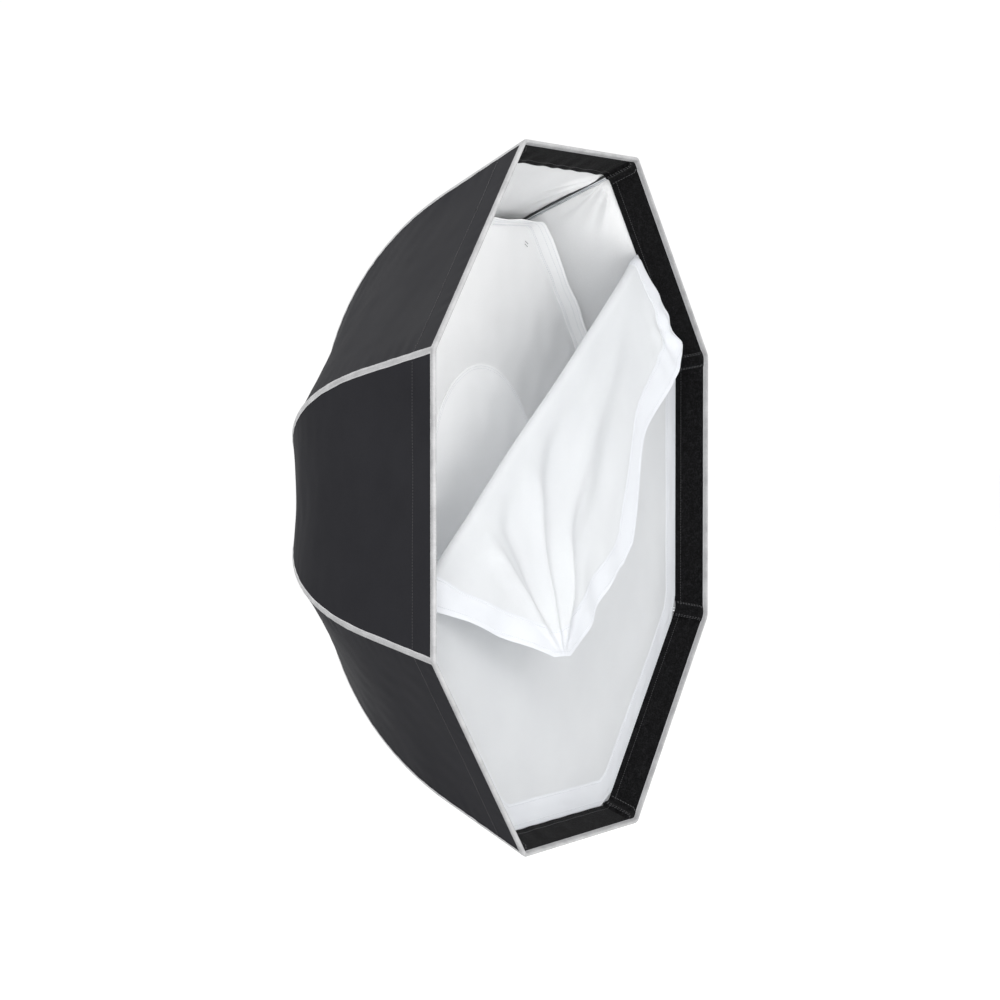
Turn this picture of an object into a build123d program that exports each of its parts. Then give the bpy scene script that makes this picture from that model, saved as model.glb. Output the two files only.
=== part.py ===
from build123d import *
import math
import os

# An octagonal softbox of 90 cm. The axis is Y: the open front faces -Y and the mount is at the back.
# The origin is the centre of the seat face of the mount ring. All sizes are in millimetres.

# Driving dimensions: the fabric shell, as its outer surface along a rib
RIB_COUNT = 8
RIM = (450.0, -347.0)  # (distance from the axis, y) of a rim corner
KNEE = (389.0, -235.0)  # where the straight front part ends
SHOULDER = (230.0, -67.0)  # where the first arc meets the second
NECK = (82.0, -8.0)  # where the shell meets the hub
SHELL_T = 0.8
SEAM_GAP = 0.3  # half of the gap between neighbouring panels
PANEL_START = 92.4  # axis to a panel's inner edge, at its middle
LIP_DEPTH = 38.0  # of the black band inside the rim, along the axis
LIP_INSETS = (1.4, 2.4)
LIP_END_GAP = 6.5  # from a rib's plane to the end of the band

# Ribs: channel rods with a foot on the hub and a cap at the rim
ROD_W = 7.0
ROD_INSETS = (2.6, 5.8)  # the rod's two faces, inwards from the shell's outer surface
GROOVE_W = 2.4
GROOVE_DEPTH = 1.4
ROD_START = 97.0
ROD_TIP_Y = RIM[1] + 12
CAP_W = 11.0
CAP_INSETS = (3.3, 7.2)
CAP_SPAN = (RIM[1] + 9, RIM[1] + 35)  # lowest and highest y
HINGE = (77.0, -20.5)  # the rib's hinge: (distance from the axis, y)
EYE_R = 5.5
EYE_W = 6.8
SOCKET_W = 10.0
SOCKET_INSETS = (1.8, 8.0)
SOCKET_SPAN = (93.0, 122.0)
PIN_R = 1.5
PIN_CLEARANCE = 0.06
EAR_T = 3.2
EAR_GAP = 7.4
EAR_SPAN = (71.5, 83.5)
EAR_DEPTH = 13.5
PLUNGER_AT = (81.5, -24.0)
PLUNGER_R = 1.2
PLUNGER_OUT = 1.3  # how far a plunger's screw end stands out of its ear

# Hub, mount ring and lock
HUB_BORE_R = 66.58
HUB_R = 81.0
HUB_FRONT = -13.0
HUB_SEAT = -4.9
HUB_REAR = -0.5
RECESS_R = 77.5
BORE_R = 61.5
SLEEVE_R = 66.5
FLANGE_R = 77.0
FLANGE_T = 4.0
SPIGOT_R = 68.5
SPIGOT_L = 6.5
LUG_R = 73.5
LUG_SPAN = (2.5, 5.5)
LUG_ANGLE = 27.0
LUG_COUNT = 3
NOTCH = (4.0, 5.0)  # depth and width of the flange's locking notch
RETAINER_R = 71.5
RETAINER_T = 2.0
SCREW_CIRCLE_R = 64.0
SCREW_R = 1.25
SCREW_DEPTH = 6.5
SCREW_HEAD = (2.4, 1.2)  # radius and height
SLIP_RING = ((67.2, HUB_SEAT), (76.4, -4.3))
CLAMP = ((82.2, -12.6), (83.8, -9.9))
NECK_EDGE_R = 91.0
BOSS_R = 5.0
BOSS_END = 88.5
LOCK_Y = -2.7
LOCK_R = 2.0
LOCK_HOLE_R = 2.05
LOCK_TIP = 77.4
KNOB_SPAN = (92.0, 105.0)
KNOB_R = 6.5
KNOB_FLUTES = 6

# Inner baffle and front diffuser, the diffuser partly peeled off
BAFFLE_Y = -214.0
BAFFLE_R = 360.0
BAFFLE_T = 1.2
PATCH_R = 159.0
SKIRT = (22.0, 6.0)  # how far the baffle's turned edge reaches forward, and how far it flares out
TAB = (22.0, 10.0)  # length and width
TAB_REACH = 365.0
DIFFUSER_FLAT_R = 391.0
DIFFUSER_CORNER_R = 416.0
DIFFUSER_FACE = -311.0
DIFFUSER_T = 1.2
HEM_W = 30.0
FOLD_RIGHT = (258.0, 298.0)  # x, z of the ends of the fold where the flap turns down
FOLD_LEFT = (-393.0, -110.0)
FLAP_CORNERS = ((-138.0, -190.0), (118.0, -96.0), (298.0, 168.0))
FLAP_LEAN = 14.0
FLAP_LIFT = 1.5
FLAP_T = 3.0

HALF_GORE = 180.0 / RIB_COUNT
FLAT = math.cos(math.radians(HALF_GORE))  # a panel's middle lies this much nearer the axis than its corners
BIG = 1200.0


def arc_stations(start, lean, end):
    """The middle and end of the arc that leaves start at that lean from the axis, with their leans."""
    run, rise = start[0] - end[0], end[1] - start[1]
    slope = math.atan2(run, rise)
    bulge = math.hypot(run, rise) / 2 * math.tan((slope - lean) / 2)
    radius = (start[0] + end[0]) / 2 + bulge * math.cos(slope)
    y = (start[1] + end[1]) / 2 + bulge * math.sin(slope)
    return [(radius, y, slope), (*end, 2 * slope - lean)]


def shell_stations():
    """(distance from the axis, y, lean from the axis) at the ends and arc middles of the shell's outline."""
    lean = math.atan2(RIM[0] - KNEE[0], KNEE[1] - RIM[1])
    stations = [(*RIM, lean), (*KNEE, lean)]
    stations += arc_stations(KNEE, lean, SHOULDER)
    stations += arc_stations(SHOULDER, stations[-1][2], NECK)
    return stations


def outline_points(inset, flat):
    """The stations moved inwards by inset. flat is 1 along a rib and FLAT along a panel's middle."""
    points = []
    for radius, y, lean in shell_stations():
        across, along = flat * math.sin(lean), math.cos(lean)
        size = math.hypot(across, along)
        points.append((flat * radius - inset * along / size, y - inset * across / size))
    return points


def strip(insets, flat=1.0):
    """The closed outline between two insets of the shell's outline."""
    outer, inner = (outline_points(inset, flat) for inset in insets)
    with BuildLine() as outline:
        Line(outer[0], outer[1])
        ThreePointArc(outer[1], outer[2], outer[3])
        ThreePointArc(outer[3], outer[4], outer[5])
        Line(outer[5], inner[5])
        ThreePointArc(inner[5], inner[4], inner[3])
        ThreePointArc(inner[3], inner[2], inner[1])
        Line(inner[1], inner[0])
        Line(inner[0], outer[0])
    return outline.line


def radial_plane(angle):
    """The plane through the axis at that angle from +X: its x is the radius and its y is the row's Y."""
    turn = math.radians(angle)
    return Plane(
        origin=(0, 0, 0),
        x_dir=(math.cos(turn), 0, math.sin(turn)),
        z_dir=(-math.sin(turn), 0, math.cos(turn)),
    )


def rib_plane(number):
    return radial_plane(HALF_GORE + (number - 1) * 2 * HALF_GORE)


def panel_plane(number):
    """The middle plane of the panel between rib number and the next one."""
    return radial_plane(number * 2 * HALF_GORE)


def front_plane(y):
    """A plane facing the front at that y. Its x is the row's X and its y is the row's Z."""
    return Plane(origin=(0, y, 0), x_dir=(1, 0, 0), z_dir=(0, -1, 0))


def save(builder, name):
    builder.part.label = name
    export_step(builder.part, f"parts/{name}.step")


# ---- Mount ring, which the light holds ----


def make_mount_ring():
    with BuildPart() as ring:
        with BuildSketch(Plane.XY):
            Polygon(
                (BORE_R, HUB_FRONT),
                (SLEEVE_R, HUB_FRONT),
                (SLEEVE_R, -FLANGE_T),
                (FLANGE_R, -FLANGE_T),
                (FLANGE_R, 0),
                (SPIGOT_R, 0),
                (SPIGOT_R, SPIGOT_L),
                (BORE_R, SPIGOT_L),
                align=None,
            )
        revolve(axis=Axis.Y)
        for i in range(LUG_COUNT):
            turn = math.radians(90 + 360 / LUG_COUNT * i)
            reach = LUG_R * 2
            half = reach * math.tan(math.radians(LUG_ANGLE / 2))
            base = Plane(
                origin=(0, LUG_SPAN[0], 0),
                x_dir=(math.cos(turn), 0, math.sin(turn)),
                z_dir=(0, 1, 0),
            )
            with BuildSketch(base):
                Circle(LUG_R)
                Circle(SPIGOT_R - 1, mode=Mode.SUBTRACT)
                Polygon((0, 0), (reach, half), (reach, -half), align=None, mode=Mode.INTERSECT)
            extrude(amount=LUG_SPAN[1] - LUG_SPAN[0])
        with BuildSketch(front_plane(0)):
            with Locations((0, -FLANGE_R)):
                Rectangle(NOTCH[1], 2 * NOTCH[0])
        extrude(amount=FLANGE_T, mode=Mode.SUBTRACT)
        with BuildSketch(front_plane(HUB_FRONT)):
            with PolarLocations(SCREW_CIRCLE_R, LUG_COUNT):
                Circle(SCREW_R)
        extrude(amount=-SCREW_DEPTH, mode=Mode.SUBTRACT)
    save(ring, "mount_ring")


def make_retainer_ring():
    with BuildPart() as ring:
        with BuildSketch(front_plane(HUB_FRONT)):
            Circle(RETAINER_R)
            Circle(BORE_R, mode=Mode.SUBTRACT)
            with PolarLocations(SCREW_CIRCLE_R, LUG_COUNT):
                Circle(SCREW_R, mode=Mode.SUBTRACT)
        extrude(amount=RETAINER_T)
    save(ring, "retainer_ring")


def make_retainer_screws():
    head_r, head_h = SCREW_HEAD
    with BuildPart() as screws:
        with BuildSketch(front_plane(HUB_FRONT + SCREW_DEPTH)):
            with PolarLocations(SCREW_CIRCLE_R, LUG_COUNT):
                Circle(SCREW_R)
        extrude(amount=SCREW_DEPTH + RETAINER_T)
        with BuildSketch(front_plane(HUB_FRONT - RETAINER_T)):
            with PolarLocations(SCREW_CIRCLE_R, LUG_COUNT):
                Circle(head_r)
        extrude(amount=head_h)
        with BuildSketch(front_plane(HUB_FRONT - RETAINER_T - head_h)):
            with PolarLocations(SCREW_CIRCLE_R, LUG_COUNT):
                RegularPolygon(head_r / 2, 6)
        extrude(amount=-head_h * 0.7, mode=Mode.SUBTRACT)
    save(screws, "retainer_screws")


# ---- Hub, which turns on the mount ring and carries the ribs ----


def make_hub_ring():
    with BuildPart() as hub:
        with BuildSketch(Plane.XY):
            Polygon(
                (HUB_BORE_R, HUB_FRONT),
                (HUB_R, HUB_FRONT),
                (HUB_R, HUB_REAR),
                (RECESS_R, HUB_REAR),
                (RECESS_R, HUB_SEAT),
                (HUB_BORE_R, HUB_SEAT),
                align=None,
            )
        revolve(axis=Axis.Y)
        for number in range(1, RIB_COUNT + 1):
            for side in (-1, 1):
                with BuildSketch(rib_plane(number).offset(side * (EAR_GAP + EAR_T) / 2)):
                    with Locations(((EAR_SPAN[0] + EAR_SPAN[1]) / 2, HUB_FRONT - EAR_DEPTH / 2)):
                        RectangleRounded(EAR_SPAN[1] - EAR_SPAN[0], EAR_DEPTH, 0.9)
                    with Locations(((EAR_SPAN[0] + HUB_R) / 2, HUB_FRONT)):
                        Rectangle(HUB_R - EAR_SPAN[0] - 1, 3)
                    with Locations(HINGE):
                        Circle(PIN_R, mode=Mode.SUBTRACT)
                    if side > 0:
                        with Locations(PLUNGER_AT):
                            Circle(PLUNGER_R, mode=Mode.SUBTRACT)
                extrude(amount=EAR_T / 2, both=True)
        with BuildSketch(Plane(origin=(RECESS_R + 0.5, LOCK_Y, 0), z_dir=(1, 0, 0))):
            Circle(BOSS_R)
        extrude(amount=BOSS_END - RECESS_R - 0.5)
        with BuildSketch(Plane(origin=(RECESS_R - 2, LOCK_Y, 0), z_dir=(1, 0, 0))):
            Circle(LOCK_HOLE_R)
        extrude(amount=BOSS_END - RECESS_R + 3, mode=Mode.SUBTRACT)
    save(hub, "hub_ring")


def make_slip_ring():
    (inner, front), (outer, rear) = SLIP_RING
    with BuildPart() as ring:
        with BuildSketch(front_plane(rear)):
            Circle(outer)
            Circle(inner, mode=Mode.SUBTRACT)
        extrude(amount=rear - front)
    save(ring, "slip_ring")


def make_hinge_pins():
    with BuildPart() as pins:
        for number in range(1, RIB_COUNT + 1):
            with BuildSketch(rib_plane(number)):
                with Locations(HINGE):
                    Circle(PIN_R)
            extrude(amount=EAR_GAP / 2 + EAR_T, both=True)
    save(pins, "hinge_pins")


def make_detent_plungers():
    with BuildPart() as plungers:
        for number in range(1, RIB_COUNT + 1):
            with BuildSketch(rib_plane(number).offset(EAR_GAP / 2)):
                with Locations(PLUNGER_AT):
                    Circle(PLUNGER_R)
            extrude(amount=EAR_T + PLUNGER_OUT)
    save(plungers, "detent_plungers")


def make_neck_clamp():
    (inner, front), (outer, rear) = CLAMP
    with BuildPart() as clamp:
        with BuildSketch(front_plane(rear)):
            Circle(outer)
            Circle(inner, mode=Mode.SUBTRACT)
        extrude(amount=rear - front)
    save(clamp, "neck_clamp")


def make_shell_neck():
    cone_drop = (NECK_EDGE_R - NECK[0]) * 0.21
    with BuildPart() as neck:
        with BuildSketch(Plane.XY):
            Polygon(
                (HUB_R, CLAMP[0][1] - 0.2),
                (NECK[0] + 0.1, CLAMP[0][1] - 0.2),
                (NECK[0] + 0.1, NECK[1] - 1.3),
                (NECK_EDGE_R, NECK[1] - 1.3 - cone_drop),
                (NECK_EDGE_R, NECK[1] - cone_drop),
                (NECK[0], NECK[1]),
                (HUB_R, NECK[1]),
                align=None,
            )
        revolve(axis=Axis.Y)
    save(neck, "shell_neck")


# ---- Lock that stops the hub turning ----


def make_lock_screw():
    with BuildPart() as screw:
        with BuildSketch(Plane(origin=(LOCK_TIP, LOCK_Y, 0), z_dir=(1, 0, 0))):
            Circle(LOCK_R)
        extrude(amount=(KNOB_SPAN[0] + KNOB_SPAN[1]) / 2 - LOCK_TIP)
        tip = screw.edges().filter_by(GeomType.CIRCLE).sort_by(Axis.X)[0]
        chamfer(tip, length=0.5)
    save(screw, "lock_screw")


def make_lock_knob():
    start, end = KNOB_SPAN
    with BuildPart() as knob:
        with BuildSketch(Plane(origin=(start, LOCK_Y, 0), z_dir=(1, 0, 0))):
            Circle(KNOB_R)
            with PolarLocations(KNOB_R + 1, KNOB_FLUTES):
                Circle(2, mode=Mode.SUBTRACT)
        extrude(amount=end - start)
        with BuildSketch(Plane(origin=(start, LOCK_Y, 0), z_dir=(1, 0, 0))):
            Circle(LOCK_R)
        extrude(amount=(end - start) / 2, mode=Mode.SUBTRACT)
        chamfer(knob.faces().sort_by(Axis.X)[-1].edges(), length=0.8)
    save(knob, "lock_knob")


# ---- One rib: rod, foot and cap, with the shell panel and lip band beside it ----


def make_rod(number):
    top = NECK[1] + 5
    with BuildPart() as rod:
        with BuildSketch(rib_plane(number)):
            with BuildLine():
                add(strip(ROD_INSETS))
            make_face()
            with Locations((ROD_START, ROD_TIP_Y)):
                Rectangle(BIG, top - ROD_TIP_Y, align=(Align.MIN, Align.MIN), mode=Mode.INTERSECT)
        extrude(amount=ROD_W / 2, both=True)
        with BuildSketch(rib_plane(number)):
            with BuildLine():
                add(strip((ROD_INSETS[1] - GROOVE_DEPTH, ROD_INSETS[1] + 1)))
            make_face()
        extrude(amount=GROOVE_W / 2, both=True, mode=Mode.SUBTRACT)
    save(rod, f"rib_{number}_rod")


def make_foot(number):
    start, end = SOCKET_SPAN
    with BuildPart() as foot:
        with BuildSketch(rib_plane(number)):
            with Locations(HINGE):
                Circle(EYE_R)
            Polygon(
                (HINGE[0], HINGE[1] + EYE_R),
                (start + 1, HUB_FRONT - 0.2),
                (start + 16, HINGE[1] + 1),
                (start + 1, HINGE[1] - 4.5),
                (HINGE[0], HINGE[1] - EYE_R),
                align=None,
            )
        extrude(amount=EYE_W / 2, both=True)
        with BuildSketch(rib_plane(number)):
            with BuildLine():
                add(strip(SOCKET_INSETS))
            make_face()
            with Locations((start, 0)):
                Rectangle(end - start, BIG, align=(Align.MIN, Align.CENTER), mode=Mode.INTERSECT)
        extrude(amount=SOCKET_W / 2, both=True)
        with BuildSketch(rib_plane(number)):
            with BuildLine():
                add(strip(ROD_INSETS))
            make_face()
            with Locations((ROD_START, 0)):
                Rectangle(BIG, BIG, align=(Align.MIN, Align.CENTER), mode=Mode.INTERSECT)
        extrude(amount=ROD_W / 2, both=True, mode=Mode.SUBTRACT)
        with BuildSketch(rib_plane(number)):
            with Locations(HINGE):
                Circle(PIN_R + PIN_CLEARANCE)
        extrude(amount=EYE_W, both=True, mode=Mode.SUBTRACT)
    save(foot, f"rib_{number}_foot")


def make_cap(number):
    low, high = CAP_SPAN
    with BuildPart() as cap:
        with BuildSketch(rib_plane(number)):
            with BuildLine():
                add(strip(CAP_INSETS))
            make_face()
            with Locations((0, low)):
                Rectangle(BIG, high - low, align=(Align.MIN, Align.MIN), mode=Mode.INTERSECT)
        extrude(amount=CAP_W / 2, both=True)
        with BuildSketch(rib_plane(number)):
            with BuildLine():
                add(strip(ROD_INSETS))
            make_face()
            with Locations((0, ROD_TIP_Y)):
                Rectangle(BIG, BIG, align=(Align.MIN, Align.MIN), mode=Mode.INTERSECT)
        extrude(amount=ROD_W / 2, both=True, mode=Mode.SUBTRACT)
    save(cap, f"rib_{number}_cap")


def make_panel(number):
    half_width = RIM[0] * math.sin(math.radians(HALF_GORE)) + 5
    with BuildPart() as panel:
        with BuildSketch(panel_plane(number)):
            with BuildLine():
                add(strip((0, SHELL_T), FLAT))
            make_face()
            with Locations((PANEL_START, 0)):
                Rectangle(BIG, BIG, align=(Align.MIN, Align.CENTER), mode=Mode.INTERSECT)
        extrude(amount=half_width, both=True)
        split(bisect_by=rib_plane(number).offset(SEAM_GAP), keep=Keep.TOP)
        split(bisect_by=rib_plane(number + 1).offset(-SEAM_GAP), keep=Keep.BOTTOM)
    save(panel, f"shell_panel_{number}")


def make_lip_band(number):
    half_width = RIM[0] * math.sin(math.radians(HALF_GORE)) + 5
    with BuildPart() as band:
        with BuildSketch(panel_plane(number)):
            with BuildLine():
                add(strip(LIP_INSETS, FLAT))
            make_face()
            with Locations((0, RIM[1] - BIG + LIP_DEPTH)):
                Rectangle(BIG, BIG, align=(Align.MIN, Align.MIN), mode=Mode.INTERSECT)
        extrude(amount=half_width, both=True)
        split(bisect_by=rib_plane(number).offset(LIP_END_GAP), keep=Keep.TOP)
        split(bisect_by=rib_plane(number + 1).offset(-LIP_END_GAP), keep=Keep.BOTTOM)
    save(band, f"lip_band_{number}")


# ---- Inner baffle ----


def make_baffle_cloth():
    with BuildPart() as baffle:
        with BuildSketch(front_plane(BAFFLE_Y)):
            RegularPolygon(BAFFLE_R, RIB_COUNT, rotation=HALF_GORE)
        extrude(amount=BAFFLE_T / 2, both=True)
    save(baffle, "baffle_cloth")


def make_baffle_skirt():
    """The edge of the baffle, turned forward all round."""
    depth, flare = SKIRT
    back = BAFFLE_Y - BAFFLE_T / 2
    with BuildPart() as skirt:
        for inset in (0, BAFFLE_T):
            for forward, radius in ((0, BAFFLE_R), (depth, BAFFLE_R + flare)):
                with BuildSketch(front_plane(back - forward)):
                    RegularPolygon(radius - inset, RIB_COUNT, rotation=HALF_GORE)
            loft(mode=Mode.SUBTRACT if inset else Mode.ADD)
    save(skirt, "baffle_skirt")


def make_baffle_patch():
    with BuildPart() as patch:
        with BuildSketch(front_plane(BAFFLE_Y - BAFFLE_T / 2)):
            Circle(PATCH_R)
        extrude(amount=BAFFLE_T)
    save(patch, "baffle_patch")


def make_baffle_tabs():
    length, width = TAB
    with BuildPart() as tabs:
        for number in range(1, RIB_COUNT + 1):
            with BuildSketch(rib_plane(number)):
                with Locations((TAB_REACH, BAFFLE_Y + BAFFLE_T / 2)):
                    Rectangle(length, BAFFLE_T, align=(Align.MAX, Align.MIN))
            extrude(amount=width / 2, both=True)
    save(tabs, "baffle_tabs")


# ---- Front diffuser, with its upper left part peeled off and hanging forward ----


def cut_shape(grow=0.0):
    """The diffuser's octagon with its corners cut back."""
    with BuildSketch() as shape:
        RegularPolygon(DIFFUSER_FLAT_R - grow, RIB_COUNT, major_radius=False, rotation=HALF_GORE)
        RegularPolygon(DIFFUSER_CORNER_R - grow, RIB_COUNT, major_radius=False, mode=Mode.INTERSECT)
    return shape.sketch


def below_fold():
    """A large area on the side of the fold that is still fastened."""
    along = Vector(FOLD_RIGHT[0] - FOLD_LEFT[0], FOLD_RIGHT[1] - FOLD_LEFT[1]).normalized()
    down = Vector(along.Y, -along.X)
    left, right = Vector(*FOLD_LEFT) - along * BIG, Vector(*FOLD_RIGHT) + along * BIG
    with BuildSketch() as area:
        with BuildLine():
            Polyline(left, right, right + down * BIG, left + down * BIG, close=True)
        make_face()
    return area.sketch


def make_diffuser_cloth():
    with BuildPart() as cloth:
        with BuildSketch(front_plane(DIFFUSER_FACE)):
            add(cut_shape())
            add(below_fold(), mode=Mode.INTERSECT)
        extrude(amount=-DIFFUSER_T)
    save(cloth, "diffuser_cloth")


def make_diffuser_hem():
    with BuildPart() as hem:
        with BuildSketch(front_plane(DIFFUSER_FACE + DIFFUSER_T)):
            add(cut_shape())
            add(below_fold(), mode=Mode.INTERSECT)
            add(cut_shape(HEM_W), mode=Mode.SUBTRACT)
        extrude(amount=-DIFFUSER_T)
    save(hem, "diffuser_hem")


def make_diffuser_flap():
    along = Vector(FOLD_RIGHT[0] - FOLD_LEFT[0], 0, FOLD_RIGHT[1] - FOLD_LEFT[1])
    fold = along.normalized()
    origin = Vector(FOLD_LEFT[0], DIFFUSER_FACE - FLAP_LIFT, FOLD_LEFT[1])
    lean = math.radians(FLAP_LEAN)
    facing = Vector(-fold.Z * math.sin(lean), -math.cos(lean), fold.X * math.sin(lean))
    upright = Plane(origin=origin, x_dir=fold, z_dir=(0, -1, 0))
    corners = [upright.to_local_coords(Vector(x, origin.Y, z)) for x, z in FLAP_CORNERS]
    outline = [(0, 0), *((corner.X, corner.Y) for corner in corners), (along.length, 0)]
    with BuildPart() as flap:
        with BuildSketch(Plane(origin=origin, x_dir=fold, z_dir=facing)):
            with BuildLine():
                Polyline(*outline, close=True)
            make_face()
        extrude(amount=FLAP_T)
    save(flap, "diffuser_flap")


os.makedirs("parts", exist_ok=True)
make_mount_ring()
make_retainer_ring()
make_retainer_screws()
make_hub_ring()
make_slip_ring()
make_hinge_pins()
make_detent_plungers()
make_neck_clamp()
make_shell_neck()
make_lock_screw()
make_lock_knob()
for rib_number in range(1, RIB_COUNT + 1):
    make_rod(rib_number)
    make_foot(rib_number)
    make_cap(rib_number)
    make_panel(rib_number)
    make_lip_band(rib_number)
make_baffle_cloth()
make_baffle_skirt()
make_baffle_patch()
make_baffle_tabs()
make_diffuser_cloth()
make_diffuser_hem()
make_diffuser_flap()
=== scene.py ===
"""Looks of a 90 cm octagonal softbox: black shell, grey binding, white inner baffle and half-peeled diffuser.

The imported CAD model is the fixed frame. Its metal and plastic nodes are kept, and every cloth node is
replaced by curved cloth built here. Lengths are in metres, in the frame's own axes: Y is the light's axis and
the open front faces -Y.
"""

import math

import bpy
import numpy as np
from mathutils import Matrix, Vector


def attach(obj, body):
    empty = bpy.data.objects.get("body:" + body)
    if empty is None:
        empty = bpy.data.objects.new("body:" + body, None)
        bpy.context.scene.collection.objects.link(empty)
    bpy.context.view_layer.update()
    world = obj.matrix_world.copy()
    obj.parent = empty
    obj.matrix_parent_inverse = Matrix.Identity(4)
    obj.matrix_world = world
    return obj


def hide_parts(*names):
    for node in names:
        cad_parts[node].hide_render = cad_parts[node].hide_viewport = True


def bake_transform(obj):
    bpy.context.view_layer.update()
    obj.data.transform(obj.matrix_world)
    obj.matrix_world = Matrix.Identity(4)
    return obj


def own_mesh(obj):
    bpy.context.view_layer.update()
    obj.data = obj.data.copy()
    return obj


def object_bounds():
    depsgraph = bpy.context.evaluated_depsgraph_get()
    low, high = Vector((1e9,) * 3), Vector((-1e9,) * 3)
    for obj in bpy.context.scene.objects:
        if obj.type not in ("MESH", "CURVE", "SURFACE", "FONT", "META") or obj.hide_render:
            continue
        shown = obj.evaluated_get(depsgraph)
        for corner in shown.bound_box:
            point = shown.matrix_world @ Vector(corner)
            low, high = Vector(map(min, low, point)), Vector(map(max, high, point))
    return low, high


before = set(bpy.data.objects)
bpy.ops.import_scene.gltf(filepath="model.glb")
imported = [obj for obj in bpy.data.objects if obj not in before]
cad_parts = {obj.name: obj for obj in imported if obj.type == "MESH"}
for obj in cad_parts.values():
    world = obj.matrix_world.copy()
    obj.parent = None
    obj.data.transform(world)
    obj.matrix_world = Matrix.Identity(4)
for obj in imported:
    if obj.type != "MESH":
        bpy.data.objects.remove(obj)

CAD_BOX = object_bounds()
MM = 0.001

# ---- Driving dimensions ----

RIB_COUNT = 8
HALF = math.pi / RIB_COUNT  # half of a panel's angle
COS, SIN, TAN = math.cos(HALF), math.sin(HALF), math.tan(HALF)
RIM = (450 * MM, -347 * MM)  # (distance from the axis, y) of a rim corner
KNEE = (389 * MM, -235 * MM)
SHOULDER = (230 * MM, -67 * MM)
NECK = (82 * MM, -8 * MM)
SHELL_T = 0.8 * MM  # between the black cloth and its lining
CLOTH_T = 0.6 * MM  # of the white cloths
SEAM_ROUND = 4 * MM  # half of the width over which a seam's ridge is rounded
SPINE = 6 * MM  # half of the width of cloth that stays rigid along a rib
SPINE_OFFS = np.linspace(-SPINE, SPINE, 13)
ROW_STEP = 5 * MM
GATHER_STEP = 3 * MM  # between rows where the lining is gathered
GATHER_END = 125 * MM
GATHER_ANGLES = (0.28, 0.62, 1.02)  # of the gathers beside a rib's end, in radians off the rib
WING_COLUMNS = 44
ZONE_ENDS = (0, 40, 80, 125, 175, 235, 300, 370, 440)  # mm from the rim, and then the start of the neck
NECK_START_R = 118 * MM
NECK_END_R = 84 * MM
ROUND_SPAN = (125 * MM, 92 * MM)  # the shell's section turns from an octagon into a circle between these
SAG = 4.5 * MM  # how far a panel's middle is pulled in
LIP_W = 43 * MM
LIP_T = 1.0 * MM
LIP_INSET = 1.5 * MM
POCKET_INSET = 7.6 * MM
POCKET_HALF = (7.5 * MM, 14 * MM)  # half widths of a pocket at its top and at its foot
POCKET_START = 5 * MM

BAFFLE_Y = -214 * MM
BAFFLE_R = 360 * MM
SKIRT_DEPTH = 22 * MM  # the baffle's edge turns forward by this much
SKIRT_FLARE = 6 * MM
PATCH_R = 159 * MM
TAB_REACH = 366 * MM
TAB_HALF = 5 * MM

DIFFUSER_Y = -310.6 * MM
DIFFUSER_FLAT = 391 * MM
DIFFUSER_CORNER = 416 * MM
HEM_W = 30 * MM
FOLD_LEFT = (-393 * MM, -110 * MM)  # x and z of the ends of the fold over which the loose part hangs
FOLD_RIGHT = (258 * MM, 298 * MM)
FOLD_RADIUS = 7 * MM
COLUMN_STEP = 4.5 * MM

STITCH_PITCH = 3.4 * MM
STITCH_LENGTH = 2.5 * MM
STITCH_WIDTH = 0.42 * MM

AXIS = np.array((0.0, 1.0, 0.0))


# ---- Small mathematics ----


def smooth(x):
    """0 below 0, 1 above 1, and an even slope between."""
    x = np.clip(x, 0, 1)
    return x * x * (3 - 2 * x)


def eased(x, places, values):
    """The values joined by smooth steps."""
    x = np.asarray(x, float)
    result = np.full(x.shape, float(values[0]))
    for i in range(1, len(places)):
        step = smooth((x - places[i - 1]) / (places[i] - places[i - 1]))
        result = result + (values[i] - values[i - 1]) * step
    return result


def ripple(seed, x, y, wavelength, count, spread, heading=0.0, fan=math.pi):
    """Soft uneven waves of height about 1: sines of nearly that wavelength, in random directions in a fan."""
    draw = np.random.default_rng(seed)
    total = 0.0
    for _ in range(count):
        turn = heading + fan * (draw.random() - 0.5)
        length = wavelength * (1 + spread * (draw.random() - 0.5))
        phase = 2 * math.pi * draw.random()
        total = total + np.sin(2 * math.pi / length * (x * math.cos(turn) + y * math.sin(turn)) + phase)
    return total / math.sqrt(count)


def unit(v):
    return v / np.maximum(np.linalg.norm(v, axis=-1, keepdims=True), 1e-12)


def circle(angle):
    """Points at that angle on a circle of radius 1."""
    return np.stack([np.cos(angle), np.sin(angle)], -1)


def grid_uv(across, down):
    """Texture coordinates of a grid, across its columns and down its rows."""
    return np.stack(np.broadcast_arrays(across[None, :], down[:, None]), -1)


# ---- The shell's outline, measured along a rib from the rim ----

ARC_POINTS = 800


def arc(start, lean, end):
    """Radii, heights and leans along the arc that leaves start at that lean from the axis and ends at end."""
    run, rise = start[0] - end[0], end[1] - start[1]
    turn = 2 * (math.atan2(run, rise) - lean)
    radius = math.hypot(run, rise) / (2 * math.sin(turn / 2))
    leans = lean + turn * np.linspace(0, 1, ARC_POINTS)
    r = start[0] + radius * (np.cos(leans) - math.cos(lean))
    y = start[1] + radius * (np.sin(leans) - math.sin(lean))
    return r, y, leans


def make_outline():
    lean = math.atan2(RIM[0] - KNEE[0], KNEE[1] - RIM[1])
    first = arc(KNEE, lean, SHOULDER)
    second = arc(SHOULDER, first[2][-1], NECK)
    r = np.concatenate([[RIM[0]], first[0], second[0][1:]])
    y = np.concatenate([[RIM[1]], first[1], second[1][1:]])
    leans = np.concatenate([[lean], first[2], second[2][1:]])
    s = np.concatenate([[0], np.cumsum(np.hypot(np.diff(r), np.diff(y)))])
    return s, r, y, leans


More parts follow.
